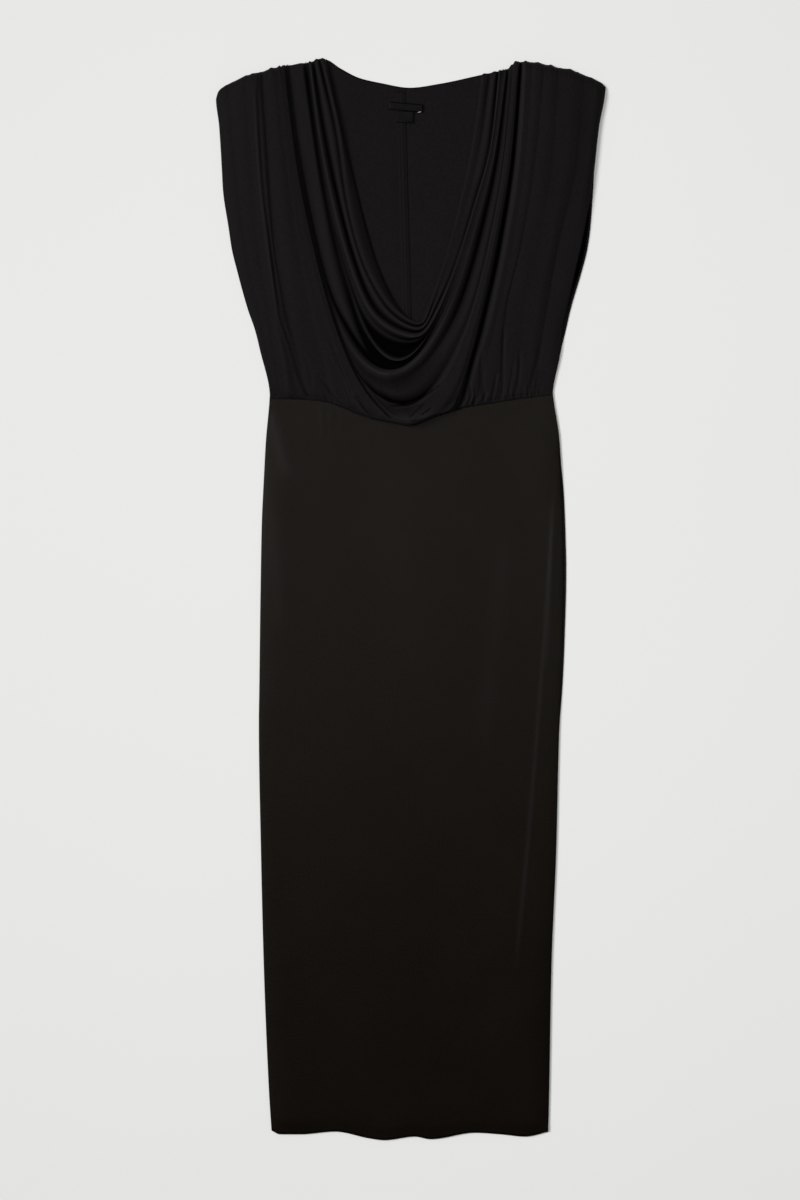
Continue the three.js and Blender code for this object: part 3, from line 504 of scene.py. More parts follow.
class Cloth:
    """Grids of points of an outer face, welded and made one closed wall."""

    def __init__(self):
        self.grids = []
        self.marks = []

    def add(self, grid, rolled_from=None, marks=None):
        """Adds a grid with columns to the right and rows down.

        Rows from rolled_from on roll under. marks gives named values at the grid's points.
        """
        self.marks.append(marks or {})
        rolled = np.zeros(grid.shape[:2], bool)
        if rolled_from is not None:
            rolled[:, rolled_from:] = True
        self.grids.append((grid, rolled))

    def weld(self):
        """Points with those that grids share merged, which of them roll under, and quads with UVs."""
        everything = np.concatenate([grid.reshape(-1, 3) for grid, _ in self.grids])
        rolled = np.concatenate([flags.ravel() for _, flags in self.grids])
        keys = np.round(everything * 1000)
        _, self.first, ids = np.unique(keys, axis=0, return_index=True, return_inverse=True)
        ids = ids.ravel()
        quads = []
        spots = []
        start = 0
        for grid, _ in self.grids:
            number = ids[start:start + grid[:, :, 0].size].reshape(grid.shape[:2])
            start += number.size
            quads.append(np.stack([corner.ravel() for corner in cell_corners(number)], axis=-1))
            across = np.linalg.norm(np.diff(grid, axis=0), axis=-1).mean(axis=1)
            along = np.linalg.norm(np.diff(grid, axis=1), axis=-1).mean(axis=0)
            u = np.concatenate([[0], np.cumsum(across)])[:, None] + np.zeros(grid.shape[:2])
            v = np.concatenate([[0], np.cumsum(along)])[None, :] + np.zeros(grid.shape[:2])
            uv = np.stack([u, -v], axis=-1) * MM
            spots.append(np.stack(cell_corners(uv), axis=2).reshape(-1, 4, 2))
        return everything[self.first], rolled[self.first], np.concatenate(quads), np.concatenate(spots)

    def build(self, name, floor, thickness=WALL):
        """Closed wall of the given thickness as a mesh object, with its cut as UV in metres."""
        outer, rolled, quads, spots = self.weld()
        corners = outer[quads]
        faces = np.cross(corners[:, 2] - corners[:, 0], corners[:, 3] - corners[:, 1])
        normals = np.zeros_like(outer)
        for k in range(4):
            np.add.at(normals, quads[:, k], faces)
        normals /= np.linalg.norm(normals, axis=1)[:, None]
        x, y = outer[:, 0], outer[:, 1]
        wall = thickness(x, y) if callable(thickness) else np.full(len(outer), thickness)
        low = floor(x, y) if callable(floor) else np.full(len(outer), float(floor))
        depth = np.maximum(np.minimum(wall / np.maximum(normals[:, 2], 0.2), STEEP_WALL), wall)
        inner = outer.copy()
        inner[:, 2] = np.maximum(outer[:, 2] - depth, low)
        along_normal = outer - normals * wall[:, None]
        along_normal[:, 2] = np.maximum(along_normal[:, 2], FRONT_LOW + GAP)
        inner[rolled] = along_normal[rolled]

        count = len(outer)
        starts = quads.ravel()
        ends = np.roll(quads, -1, axis=1).ravel()
        edge = starts * count + ends
        free = ~np.isin(edge, ends * count + starts)
        rim = np.stack([starts, starts + count, ends + count, ends], axis=-1)[free]
        spot = spots.reshape(-1, 2)
        next_spot = np.roll(spots, -1, axis=1).reshape(-1, 2)
        rim_spots = np.stack([spot, spot, next_spot, next_spot], axis=1)[free]
        all_quads = np.concatenate([quads, quads[:, ::-1] + count, rim])
        all_spots = np.concatenate([spots, spots[:, ::-1], rim_spots])
        made = mesh_object(name, np.concatenate([outer, inner]), all_quads, all_spots, rim=len(rim))
        for mark in self.marks[0]:
            values = np.concatenate([marks[mark].ravel() for marks in self.marks])[self.first]
            layer = made.data.attributes.new(mark, "FLOAT", "POINT")
            layer.data.foreach_set("value", np.concatenate([values, values]).astype(np.float32))
        return made


def mesh_object(name, corners, faces, spots=None, rim=0):
    """New object of smooth faces, except for the last few round the rim, which are flat."""
    mesh = bpy.data.meshes.new(name)
    mesh.from_pydata((np.asarray(corners) * MM).tolist(), [], np.asarray(faces).tolist())
    if spots is not None:
        layer = mesh.uv_layers.new(name="Cut")
        layer.data.foreach_set("uv", np.asarray(spots, np.float32).ravel())
    mesh.polygons.foreach_set("use_smooth", [True] * (len(mesh.polygons) - rim) + [False] * rim)
    mesh.update()
    made = bpy.data.objects.new(name, mesh)
    bpy.context.scene.collection.objects.link(made)
    return made


def slope_between(start, end):
    """Slope from one set of points up to another."""
    run = end - start
    return run[..., 2] / (np.hypot(run[..., 0], run[..., 1]) + LEAST_RUN)


def painted_shade(grid):
    """Painted shade: how far higher cloth on both sides closes in on each point, across the folds: 0 to
    under 2.
    """
    before = np.maximum.accumulate(grid[..., 2], axis=0)
    after = np.maximum.accumulate(grid[::-1, :, 2], axis=0)[::-1]
    depth = np.minimum(before, after) - grid[..., 2]
    sides = []
    for ordered in (grid, grid[::-1]):
        steepest = np.zeros(grid.shape[:2])
        for step in range(1, PAINTED_SHADE_REACH + 1):
            slope = slope_between(ordered[:-step], ordered[step:])
            steepest[:-step] = np.maximum(steepest[:-step], slope)
        sides.append(steepest / np.sqrt(1 + steepest**2))
    deep = smooth((depth - DEEP_START) / DEEP_RAMP)
    return np.minimum(sides[0], sides[1][::-1]) + DEEP_SHARE * deep


def painted_highlight(grid):
    """Painted highlight: how sharply the cloth turns over at each crest, across the folds, plus a
    painted highlight band along the lip: 0 to 1.
    """
    turn = np.zeros(grid.shape[:2])
    turn[2:-2] = slope_between(grid[:-4], grid[2:-2]) - slope_between(grid[2:-2], grid[4:])
    # Painted highlight band along the cowl's lip, just above the waist seam.
    over_waist = grid[..., 1] - waist_seam(grid[..., 0])
    lip = bell(over_waist + 1, LIP_BAND) * bell(grid[..., 0] - LIP_MIDDLE, LIP_HALF)
    return np.clip(turn / HIGHLIGHT_TURN + LIP_HIGHLIGHT_SHARE * lip, 0, 1)


def fine_rows(rows, count):
    """Rows of a table, each divided again."""
    steps = np.arange((len(rows) - 1) * count + 1) / count
    return np.interp(steps, np.arange(len(rows)), rows)


def gathers(x, distance, length, stray, fade, clear):
    """Waves along a gathered seam, at a distance from it: of uneven length, and fading away from it."""
    wave = np.sin(x * 2 * np.pi / length + 2 * np.sin(x / stray))
    return GATHER * wave * np.exp(-np.maximum(distance, 0) / fade) * smooth(distance / clear)


def add_fine_form(grid):
    """Adds gathers, creases and soft unevenness to a grid of the front bodice."""
    x, y, z = (grid[..., axis].copy() for axis in range(3))
    below_seam = top_edge(x) - y
    over_waist = y - waist_seam(x)
    away = 1 - bell(x - CENTRE, 60)
    inside = smooth((x - left_edge(y)) / 14) * smooth((right_edge(y) - x) / 14)
    free = inside * smooth(below_seam / 8)
    bumps = sum(bell(x - at, BUMP_WIDTH) for at in SEAM_BUMPS)
    grid[..., 2] += crease_height(x, y, BODICE_CREASES) * free * smooth(over_waist / 3)
    grid[..., 2] += gathers(x, below_seam, length=6.3, stray=17, fade=9, clear=4)
    grid[..., 2] += gathers(x, over_waist, length=5.2, stray=9, fade=11, clear=3) * away * inside
    grid[..., 2] += FRONT_SWELL * unevenness(x, y, size=46, seed=3) * free * smooth(over_waist / 12)
    grid[..., 1] += BUMP * bumps * np.exp(-np.maximum(below_seam, 0) / 4)
    grid[..., 2] = np.maximum(grid[..., 2], np.minimum(z, FRONT_LOW + 0.4))
    return grid


def back_seam(y):
    """Where the centre back seam is at each height."""
    return BACK_SEAM_X + BACK_SEAM_SLANT * (BACK_SEAM_MIDDLE - y)


def from_allowance(x, y):
    """How far a point is from the middle line of the seam allowance."""
    return abs(x - back_seam(y) + ALLOWANCE["width"] / 2)


def marks_across(drape, left_panel, right_panel, rows):
    """Painted shade and painted highlight marks of the drape and both panels, worked out across a panel
    and its arm of the cowl at once.
    """
    left_arm = drape[::-1, :rows]
    right_arm = drape[:, :rows - 2:-1]
    across_left = np.concatenate([left_panel[:-1, :rows], left_arm])
    across_right = np.concatenate([right_arm, right_panel[1:, :rows]])
    seam_left_at = len(left_panel) - 1
    seam_right_at = len(drape) - 1
    rolled_rows = ((0, 0), (0, ROLL_ROWS * ROWS))
    marks = [{}, {}, {}]
    for name, measure in (("painted_shade", painted_shade), ("painted_highlight", painted_highlight)):
        left = measure(across_left)
        right = measure(across_right)
        arms = [left[seam_left_at:][::-1], right[:seam_right_at + 1, -2::-1]]
        marks[0][name] = np.concatenate(arms, axis=1).T
        marks[1][name] = np.pad(left[:seam_left_at + 1], rolled_rows, "edge")
        marks[2][name] = np.pad(right[seam_right_at:], rolled_rows, "edge")
    return marks


def front_bodice():
    """The draped front: the cowl between the shoulders, and a gathered panel on each side of it."""
    s = fine_rows(BODICE_ROWS, ROWS)
    whole = np.concatenate([s, 2 - s[-2::-1]])
    cowl = named_rows(COWL_COLUMNS, COWL.values())
    for row in cowl:
        row["points"] = cowl_points(row, whole)
    lip = cowl[-1]["points"]
    lip_left = {"ridge": 1, "points": lip[:len(s)]}
    lip_right = {"ridge": 1, "steps": 1, "points": lip[:-len(s) - 1:-1]}
    left = named_rows(PANEL_COLUMNS, LEFT_PANEL.values())
    right = named_rows(PANEL_COLUMNS, RIGHT_PANEL.values())
    for row in left + right:
        row["points"] = panel_points(row, s)
    sewn_edge = side_points(left_edge, TOP[0][1], 0, s)
    side_left = {"ridge": 0, "side": True, "steps": 3, "points": sewn_edge}
    free_edge = side_points(right_edge, TOP[-1][1], ARMHOLE_LIFT, s)
    side_right = {"ridge": 0, "side": True, "points": free_edge}

    drape = add_fine_form(strands(cowl, whole))
    panels = []
    for lines in ([side_left, *left, lip_left], [lip_right, *right, side_right]):
        flat = strands(lines, s)
        rolled = roll_under(flat[:, -1], ROLL_ROWS * ROWS)
        panels.append(add_fine_form(np.concatenate([flat, rolled], axis=1)))
    cloth = Cloth()
    marks = marks_across(drape, *panels, len(s))
    cloth.add(drape.transpose(1, 0, 2), marks=marks[0])
    cloth.add(panels[0], rolled_from=len(s), marks=marks[1])
    cloth.add(panels[1], rolled_from=len(s), marks=marks[2])

    def floor(x, y):
        near = smooth((ALLOWANCE_REACH - from_allowance(x, y)) / ALLOWANCE_RAMP)
        return mix(FRONT_FLOOR, OVER_ALLOWANCE, near)

    return cloth.build("front_bodice_cloth", floor)


def skirt_height(x, y):
    """Height of the front skirt's outer face."""
    side = np.minimum(x - left_edge(y), right_edge(y) - x)
    below = waist_seam(x) - y
    crest = SKIRT_CREST + 0.35 * np.sin(x / 31 + y / 140) + 0.3 * np.sin(x / 47 - y / 210 + 1)
    ramp = smooth((below - SKIRT_SHELF) / SKIRT_RAMP)
    z = mix(FRONT_LOW, crest, quarter_round(side / SKIRT_EDGE_ROUND) * ramp)
    z += crease_height(x, y, SKIRT_CREASES) * smooth(side / 8) * smooth(below / 4)
    z += SKIRT_SWELL * unevenness(x, y, size=60, seed=11) * smooth(side / 20) * ramp
    hem = smooth((y - hem_edge(x)) / HEM_DEPTH)
    z = mix(FRONT_FLOOR + HEM_WALL, z, hem * 0.75 + 0.25 * smooth(side / 30))
    z -= HEM_DENT * bell(y - hem_edge(x) - HEM_DEPTH, 1.1) * smooth(side / 6)
    return np.maximum(z, FRONT_LOW)


def front_skirt():
    share = np.linspace(0, 1, SKIRT_COLUMNS + 1)[:, None]
    share = mix(share, 0.5 - 0.5 * np.cos(np.pi * share), 0.6)
    v = np.linspace(0, 1, SKIRT_ROWS + 1)[None, :]
    v = v - 0.02 * np.sin(2 * np.pi * v)
    level = mix(SKIRT_SIDE_TOP, SKIRT_SIDE_END, v)
    x = mix(left_edge(level), right_edge(level), share)
    y = mix(waist_seam(x) + SEAM_LAP, hem_edge(x), v)
    # Painted highlight along the skirt's raised streaks.
    streaks = np.clip(STREAK_HIGHLIGHT_SHARE * crease_height(x, y, SKIRT_CREASES), 0, 1)
    cloth = Cloth()
    cloth.add(points(x, y, skirt_height(x, y)), marks={"painted_highlight": streaks})

    def wall(x, y):
        return np.where(y - hem_edge(x) < HEM_DEPTH, HEM_WALL, WALL)

    return cloth.build("front_skirt_cloth", FRONT_FLOOR, wall)


def back_grid(left, right, upper, lower, rows):
    """Flat piece of the back between two side edges, from an upper edge to a lower one."""
    top = OUTLINE[0][0]
    high_left = left(upper(left(top)))
    high_right = right(upper(right(top)))
    low_left = left(lower(left(0)))
    low_right = right(lower(right(0)))
    u = np.sort(np.append(np.linspace(0, 1, BACK_COLUMNS + 1), EDGE_COLUMNS))[:, None]
    v = np.linspace(0, 1, rows + 1)[None, :]
    on_left = left(mix(upper(high_left), lower(low_left), v))
    on_right = right(mix(upper(high_right), lower(low_right), v))
    x = mix(on_left, on_right, u)
    y = mix(upper(mix(high_left, high_right, u)), lower(mix(low_left, low_right, u)), v)
    return points(x, y, BACK_TOP)


def back_bodice(name, left, right):
    """Half of the back, with a soft swell, and painted shade where it shows beyond the right armhole.
    """
    grid = back_grid(left, right, top_edge, waist_seam, BACK_ROWS)
    x, y = grid[..., 0], grid[..., 1]
    inside = smooth((x - left(y)) / 6) * smooth((right(y) - x) / 6) * smooth((top_edge(x) - y) / 5)
    off_label = smooth((np.hypot(x - LABEL["x"], y - LABEL["y"]) - LABEL_CLEAR) / LABEL_RAMP)
    swell = BACK_SWELL + BACK_SWELL * unevenness(x, y, size=70, seed=5)
    swell += crease_height(x, y, BACK_CREASES)
    clear = smooth((from_allowance(x, y) - ALLOWANCE_CLEAR) / 6)
    high = smooth((y - BACK_SWELL_END) / 60)
    grid[..., 2] += np.clip(swell, -0.3, 0.6) * inside * off_label * clear * high
    # Painted shade on the strip of the back that shows past the front's free armhole edge.
    past_front = smooth((x - right_edge(y) + 2) / 1.5)
    off_edge = smooth((right(y) - x - 2) / 2)
    beside_armhole = smooth((y - ARMHOLE_MIDDLE + 110) / 100)
    cloth = Cloth()
    cloth.add(grid, marks={"painted_shade": past_front * off_edge * beside_armhole})
    return cloth.build(name, 0)


def back_skirt():
    def below_seam(x):
        return waist_seam(x) - GAP

    def middle(_):
        return BACK_SEAM_X

    cloth = Cloth()
    cloth.add(back_grid(left_edge, middle, below_seam, hem_edge, BACK_ROWS))
    cloth.add(back_grid(middle, back_right_edge, below_seam, hem_edge, BACK_ROWS))
    return cloth.build("back_skirt_cloth", 0)


def turned(size, u, v):
    """Place on a small tilted slip, from its middle, in millimetres."""
    cos, sin = np.cos(size["tilt"]), np.sin(size["tilt"])
    return size["x"] + u * cos - v * sin, size["y"] + u * sin + v * cos


def slip(name, size, z, curl=0.0, sewn=0.0):
    """Small rectangle of cloth whose edges may curl up a little.

    Where it is sewn down, its rows of thread ridge it lengthwise, and its right edge is pressed flat.
    """
    columns = 24
    rows = int(np.clip(24 * size["height"] / size["width"], 6, 120))
    u = (np.linspace(-0.5, 0.5, columns + 1) * size["width"])[:, None]
    v = (np.linspace(0.5, -0.5, rows + 1) * size["height"])[None, :]
    x, y = turned(size, u, v)
    lift = curl * (2 * abs(v) / size["height"]) ** 3 * (0.6 + 0.4 * np.sin(u / 5))
    ridges = THREAD_RIDGE * np.sin(u * 2 * np.pi / THREAD_ROWS)
    pressed = PRESSED * bell(u - size["width"] / 2, PRESSED_WIDTH)
    lift = lift + sewn * (ridges - pressed)
    cloth = Cloth()
    cloth.add(points(x, y, z + size["wall"] + lift))
    return cloth.build(name, z, size["wall"])


class Signal:
    """A socket of a shader that can be added, multiplied and so on."""

    def __init__(self, tree, socket):
        self.tree = tree
        self.socket = socket

    def node(self, kind, inputs=None, output=0, **settings):
        """Adds any node to the same tree and gives one of its outputs."""
        made = self.tree.nodes.new(kind)
        for name, value in settings.items():
            setattr(made, name, value)
        for name, value in (inputs or {}).items():
            if isinstance(value, Signal):
                self.tree.links.new(value.socket, made.inputs[name])
            else:
                made.inputs[name].default_value = value
        return Signal(self.tree, made.outputs[output])

    def math(self, operation, *others):
        return self.node("ShaderNodeMath", dict(enumerate((self, *others))), operation=operation)

    def reflected(self, operation, other):
        return self.node("ShaderNodeMath", {0: other, 1: self}, operation=operation)

    def __add__(self, other):
        return self.math("ADD", other)

    def __radd__(self, other):
        return self.reflected("ADD", other)

    def __sub__(self, other):
        return self.math("SUBTRACT", other)

    def __rsub__(self, other):
        return self.reflected("SUBTRACT", other)

    def __mul__(self, other):
        return self.math("MULTIPLY", other)

    def __rmul__(self, other):
        return self.reflected("MULTIPLY", other)

    def __truediv__(self, other):
        return self.math("DIVIDE", other)

    def __rtruediv__(self, other):
        return self.reflected("DIVIDE", other)

    def axis(self, number):
        return self.node("ShaderNodeSeparateXYZ", {0: self}, output=number)

    def blend(self, dark, light):
        """Colour between two colours, with this signal as the share of the second."""
        inputs = {"Factor": self, 6: dark, 7: light}
        return self.node("ShaderNodeMix", inputs, output=2, data_type="RGBA")


def start_material(name, shader_values):
    """New material with its shader, and two signals to build on: the place in the frame and the cut."""
    material = bpy.data.materials.new(name)
    material.use_nodes = True
    tree = material.node_tree
    shader = next(node for node in tree.nodes if node.type == "BSDF_PRINCIPLED")
    for socket, value in shader_values.items():
        shader.inputs[socket].default_value = value
    coordinates = tree.nodes.new("ShaderNodeTexCoord")
    place = Signal(tree, coordinates.outputs["Object"])
    cut = Signal(tree, coordinates.outputs["UV"])
    return material, shader, place, cut


def drive(shader, **signals):
    """Links signals to the shader's sockets of the same names."""
    for name, signal in signals.items():
        signal.tree.links.new(signal.socket, shader.inputs[name.replace("_", " ")])


def noise(place, scale, detail=2.0, roughness=0.5):
    values = {"Vector": place, "Scale": scale, "Detail": detail, "Roughness": roughness}
    return place.node("ShaderNodeTexNoise", values)


def knit_height(cut, wale, course):
    """Fine columns of V-shaped knit stitches over the cut of the piece."""
    u = cut.axis(0) / wale
    v = cut.axis(1) / course
    lean = (u.math("FRACT") - 0.5).math("ABSOLUTE")
    columns = (u * (2 * np.pi)).math("COSINE") * -0.5 + 0.5
    loops = ((v + lean * 0.9) * (2 * np.pi)).math("COSINE") * 0.5 + 0.5
    return columns * 0.6 + columns * loops * 0.4


def jersey(name, dark, light, level, roughness, gleam):
    """Soft matte knit: fine columns of stitches and a mottled tone.

    The cloth's marks paint shade deep between folds, by mixing in a dark shader, and paint a highlight
    on crests and along the cowl's lip.
    """
    material, shader, place, cut = start_material(name, {
        "Specular IOR Level": level,
        "Specular Tint": gleam,
        "Sheen Weight": 0.01,
        "Sheen Roughness": 0.45,
        "Sheen Tint": (0.9, 0.92, 1.0, 1.0),
    })
    knit = knit_height(cut, wale=0.0011, course=0.0013)
    mottle = noise(place, scale=420.0, detail=3.0)
    patches = noise(place, scale=16.0)
    tone = knit * 0.35 + mottle * 1.1 + patches * 0.35 - 0.4
    relief = {"Height": knit * 0.5 + mottle * 1.1, "Strength": 0.55, "Distance": 0.00035}
    bump = place.node("ShaderNodeBump", relief)
    # Painted shade: a dark shader is mixed in where the mark says the cloth lies deep between folds.
    painted_shade_mark = place.node("ShaderNodeAttribute", output="Fac", attribute_name="painted_shade")
    share = {"Value": painted_shade_mark, "From Min": 0.14, "From Max": 0.72, "To Min": 0.0, "To Max": 0.92}
    shaded = place.node("ShaderNodeMapRange", share)
    # Painted highlight: the colour is paler where the mark says, on crests, the cowl's lip and the
    # skirt's streaks.
    crest = place.node("ShaderNodeAttribute", output="Fac", attribute_name="painted_highlight")
    colour = (crest * 0.75).blend(tone.blend(dark, light), PAINTED_HIGHLIGHT_COLOUR)
    drive(shader, Base_Color=colour, Roughness=patches * 0.1 + (roughness - 0.05), Normal=bump)
    painted_shade_values = {"Base Color": PAINTED_SHADE_COLOUR, "Roughness": 1.0, "Specular IOR Level": 0.0}
    painted_shade_shader = place.node("ShaderNodeBsdfPrincipled", painted_shade_values)
    lit = Signal(place.tree, shader.outputs[0])
    both = place.node("ShaderNodeMixShader", {0: shaded, 1: lit, 2: painted_shade_shader})
    output = next(node for node in place.tree.nodes if node.type == "OUTPUT_MATERIAL")
    place.tree.links.new(both.socket, output.inputs["Surface"])
    return material


def satin(name, dark, light):
    """Tight plain weave of the labels."""
    values = {"Specular IOR Level": 0.05, "Sheen Weight": 0.0}
    material, shader, place, cut = start_material(name, values)
    across = (cut.axis(0) * (2 * np.pi / 0.0006)).math("SINE")
    along = (cut.axis(1) * (2 * np.pi / 0.0004)).math("SINE")
    weave = across * along * 0.5 + 0.5
    tone = weave * 0.6 + noise(place, scale=300.0) * 0.4
    bump = place.node("ShaderNodeBump", {"Height": weave, "Strength": 0.4, "Distance": 0.0001})
    rough = noise(place, scale=60.0) * 0.1 + 0.4
    drive(shader, Base_Color=tone.blend(dark, light), Roughness=rough, Normal=bump)
    return material


def thread(name, dark, light):
    """Twisted sewing thread."""
    material, shader, place, _ = start_material(name, {"Specular IOR Level": 0.3, "Sheen Weight": 0.1})
    twist = noise(place, scale=900.0, detail=3.0)
    drive(shader, Base_Color=twist.blend(dark, light), Roughness=twist * 0.1 + 0.6)
    return material


def stitch_tree(material):
    """Geometry Nodes that lay stitches along the edges of a mesh."""
    tree = bpy.data.node_groups.new("Stitches along a line", "GeometryNodeTree")
    outside = tree.interface
    outside.new_socket("Geometry", in_out="INPUT", socket_type="NodeSocketGeometry")
    sockets = {}
    for name in ("Pitch", "Length", "Thickness"):
        socket = outside.new_socket(name, in_out="INPUT", socket_type="NodeSocketFloat")
        sockets[name] = socket.identifier
    outside.new_socket("Geometry", in_out="OUTPUT", socket_type="NodeSocketGeometry")
    kinds = {
        "entry": "NodeGroupInput", "leave": "NodeGroupOutput", "line": "GeometryNodeMeshToCurve",
        "spaced": "GeometryNodeResampleCurve", "ball": "GeometryNodeMeshUVSphere",
        "size": "ShaderNodeCombineXYZ", "tangent": "GeometryNodeInputTangent",
        "turn": "FunctionNodeAlignRotationToVector", "laid": "GeometryNodeInstanceOnPoints",
        "real": "GeometryNodeRealizeInstances", "paint": "GeometryNodeSetMaterial",
    }
    nodes = {name: tree.nodes.new(kind) for name, kind in kinds.items()}
    nodes["spaced"].mode = "LENGTH"
    nodes["turn"].axis = "X"
    nodes["paint"].inputs["Material"].default_value = material
    for name, value in (("Segments", 8), ("Rings", 6), ("Radius", 0.5)):
        nodes["ball"].inputs[name].default_value = value
    for start, output, end, entry in (
            ("entry", "Geometry", "line", "Mesh"), ("line", "Curve", "spaced", "Curve"),
            ("entry", "Pitch", "spaced", "Length"), ("entry", "Length", "size", "X"),
            ("entry", "Thickness", "size", "Y"), ("entry", "Thickness", "size", "Z"),
            ("tangent", "Tangent", "turn", "Vector"), ("spaced", "Curve", "laid", "Points"),
            ("ball", "Mesh", "laid", "Instance"), ("turn", "Rotation", "laid", "Rotation"),
            ("size", "Vector", "laid", "Scale"), ("laid", "Instances", "real", "Geometry"),
            ("real", "Geometry", "paint", "Geometry"), ("paint", "Geometry", "leave", "Geometry")):
        tree.links.new(nodes[start].outputs[output], nodes[end].inputs[entry])
    return tree, sockets


def stitches(name, lines, material, pitch, length, thickness):
    """Rows of stitches along lines of points in millimetres, as one plain mesh."""
    corners, edges = [], []
    for line in lines:
        edges += [(len(corners) + i, len(corners) + i + 1) for i in range(len(line) - 1)]
        corners += (np.asarray(line) * MM).tolist()
    path = bpy.data.meshes.new(name + "_path")
    path.from_pydata(corners, edges, [])
    guide = bpy.data.objects.new(name + "_path", path)
    bpy.context.scene.collection.objects.link(guide)
    tree, sockets = stitch_tree(material)
    modifier = guide.modifiers.new("Stitches", "NODES")
    modifier.node_group = tree
    for socket, value in (("Pitch", pitch), ("Length", length), ("Thickness", thickness)):
        modifier[sockets[socket]] = value * MM
    bpy.context.view_layer.update()
    graph = bpy.context.evaluated_depsgraph_get()
    mesh = bpy.data.meshes.new_from_object(guide.evaluated_get(graph), depsgraph=graph)
    guide.modifiers.clear()
    bpy.data.objects.remove(guide)
    mesh.name = name
    mesh.polygons.foreach_set("use_smooth", [True] * len(mesh.polygons))
    made = bpy.data.objects.new(name, mesh)
    bpy.context.scene.collection.objects.link(made)
    return made


def hem_line():
    x = np.linspace(*HEM_STITCHES, 200)
    y = hem_edge(x) + HEM_DEPTH
    return points(x, y, skirt_height(x, y) + THREAD_LIFT)


def slip_line(size, start, end, z):
    t = np.linspace(0, 1, 12)
    x, y = turned(size, mix(start[0], end[0], t), mix(start[1], end[1], t))
    return points(x, y, z)


def finish_piece(piece):
    """Gives a piece its place in the part."""
    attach(piece, "root")


def seam_left(y):
    return back_seam(y) - SEAM_SLIT / 2


def seam_right(y):
    return back_seam(y) + SEAM_SLIT / 2


def build_dress():
    bodice = jersey("Bodice jersey", (0.003, 0.0024, 0.0025, 1), (0.0079, 0.0068, 0.0071, 1),
                    level=0.039, roughness=0.66, gleam=(1, 1, 1, 1))
    skirt = jersey("Skirt jersey", (0.0012, 0.0007, 0.0003, 1), (0.003, 0.0018, 0.0009, 1),
                   level=0.056, roughness=0.38, gleam=(1, 0.92, 0.86, 1))
    label = satin("Label satin", (0.0006, 0.0006, 0.0006, 1), (0.002, 0.002, 0.002, 1))
    black_thread = thread("Black thread", (0.004, 0.0038, 0.004, 1), (0.011, 0.0105, 0.011, 1))
    white_thread = thread("White tack thread", (0.5, 0.5, 0.48, 1), (0.75, 0.75, 0.72, 1))

    front = front_bodice()
    lower = front_skirt()
    back_left = back_bodice("back_bodice_left_cloth", left_edge, seam_left)
    back_right = back_bodice("back_bodice_right_cloth", seam_right, back_right_edge)
    back_lower = back_skirt()
    allowance = slip("back_seam_allowance_cloth", ALLOWANCE, ALLOWANCE_Z, sewn=0.6)
    neck_label = slip("neck_label_cloth", LABEL, OVER_ALLOWANCE)
    size_tab = slip("size_tab_cloth", SIZE_TAB, OVER_ALLOWANCE, curl=0.5)
    for piece, material, slot, node in (
            (front, bodice, "bodice_jersey", "front_bodice"),
            (lower, skirt, "skirt_jersey", "front_skirt"),
            (back_left, bodice, "bodice_jersey", "back_bodice_left"),
            (back_right, bodice, "bodice_jersey", "back_bodice_right"),
            (back_lower, skirt, "skirt_jersey", "back_skirt"),
            (allowance, bodice, "bodice_jersey", "back_seam_allowance"),
            (neck_label, label, "label_satin", "neck_label"),
            (size_tab, label, "label_satin", "size_tab")):
        piece.data.materials.append(material)
        finish_piece(piece)
        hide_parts(node)

    hem_stitches = stitches("hem_stitches", [hem_line()], black_thread,
                            pitch=3.0, length=2.3, thickness=0.45)
    finish_piece(hem_stitches)
    top = OVER_ALLOWANCE + LABEL["wall"] + THREAD_LIFT
    half = LABEL["width"] / 2 - END_INSET
    edge = LABEL["height"] / 2 - EDGE_INSET
    ends = [slip_line(LABEL, (u, edge), (u, -edge), top) for u in (-half, half)]
    label_stitches = stitches("label_stitches", ends, black_thread,
                              pitch=2.0, length=1.5, thickness=0.35)
    finish_piece(label_stitches)
    tack = slip_line(LABEL, *TACK, top)
    label_tack = stitches("label_tack", [tack], white_thread, pitch=1.1, length=2.0, thickness=0.6)
    finish_piece(label_tack)


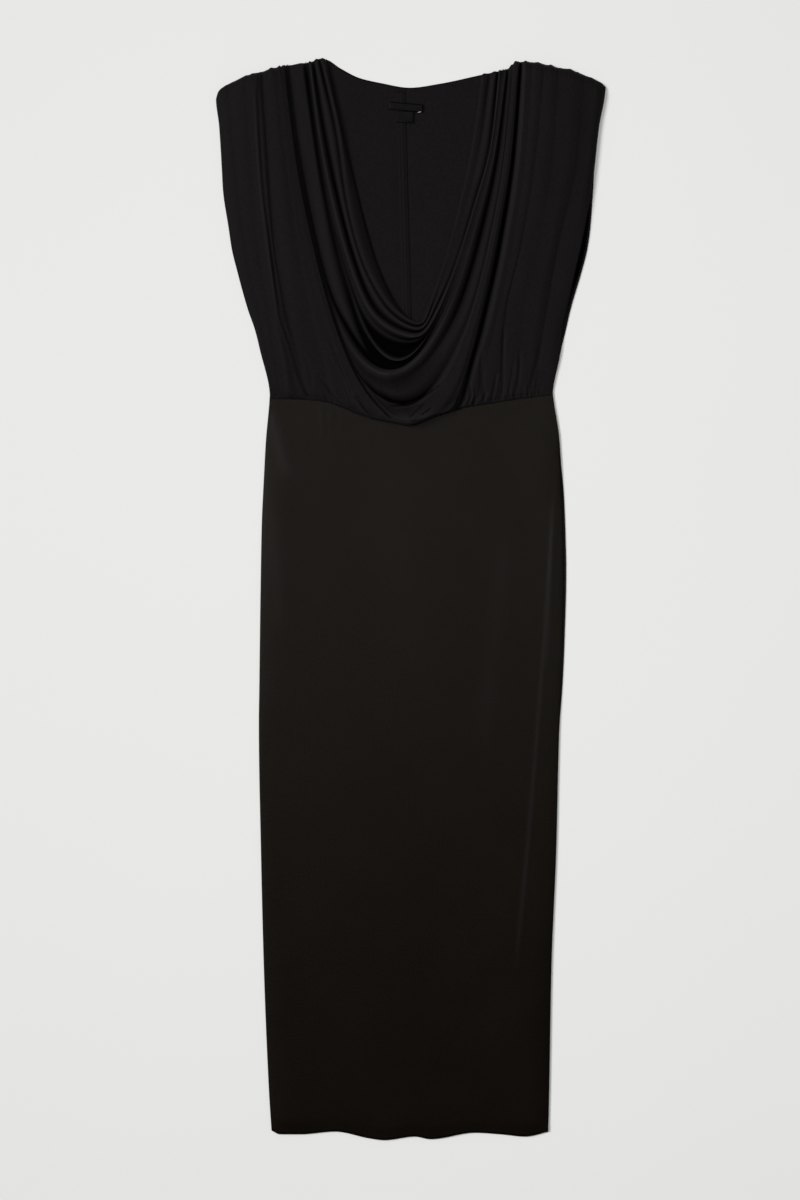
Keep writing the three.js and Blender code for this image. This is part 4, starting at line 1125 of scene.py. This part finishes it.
def add_lamp(name, data, spot):
    """Hangs a lamp at a spot, turned to the middle of the dress."""
    lamp = bpy.data.objects.new(name, data)
    lamp.location = spot
    lamp.rotation_euler = (LAMP_AIM - Vector(spot)).to_track_quat("-Z", "Y").to_euler()
    bpy.context.scene.collection.objects.link(lamp)


def build_studio():
    """Plain pale floor, soft even light and the camera straight above."""
    far = FLOOR_HALF
    corners = [(-far, -far, 0), (far, -far, 0), (far, far, 0), (-far, far, 0)]
    floor = mesh_object("studio_floor", corners, [(0, 1, 2, 3)])
    material, shader, place, _ = start_material("Pale floor", {"Specular IOR Level": 0.0})
    colour = noise(place, scale=2.0).blend((0.705, 0.705, 0.692, 1), (0.715, 0.715, 0.702, 1))
    drive(shader, Base_Color=colour, Roughness=noise(place, scale=8.0) * 0.05 + 0.9)
    floor.data.materials.append(material)

    world = bpy.data.worlds.new("Studio")
    world.use_nodes = True
    background = next(node for node in world.node_tree.nodes if node.type == "BACKGROUND")
    background.inputs["Color"].default_value = (1.0, 1.0, 0.995, 1)
    background.inputs["Strength"].default_value = 0.15
    bpy.context.scene.world = world

    key = bpy.data.lights.new("Soft key", "SUN")
    key.energy = 2.6
    key.angle = 0.42
    add_lamp("Soft key", key, (-0.95, 0.35, 1.0))
    overhead = bpy.data.lights.new("Overhead softbox", "AREA")
    overhead.shape = "SQUARE"
    overhead.size = 0.8
    overhead.energy = 46
    add_lamp("Overhead softbox", overhead, (-0.3, 0.32, 3.3))

    camera_data = bpy.data.cameras.new("Camera")
    camera_data.lens = 83.1
    camera_data.sensor_width = 36
    camera = bpy.data.objects.new("Camera", camera_data)
    camera.location = (-0.01495, -0.0013, 3.6)
    bpy.context.scene.collection.objects.link(camera)
    bpy.context.scene.camera = camera
    bpy.context.scene.view_settings.view_transform = "Standard"


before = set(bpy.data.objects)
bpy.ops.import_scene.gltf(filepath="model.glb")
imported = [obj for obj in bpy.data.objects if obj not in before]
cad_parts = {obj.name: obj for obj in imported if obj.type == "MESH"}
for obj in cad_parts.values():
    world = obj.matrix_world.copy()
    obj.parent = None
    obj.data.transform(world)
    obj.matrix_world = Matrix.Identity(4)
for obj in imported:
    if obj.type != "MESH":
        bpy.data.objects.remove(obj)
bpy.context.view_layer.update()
build_dress()
build_studio()
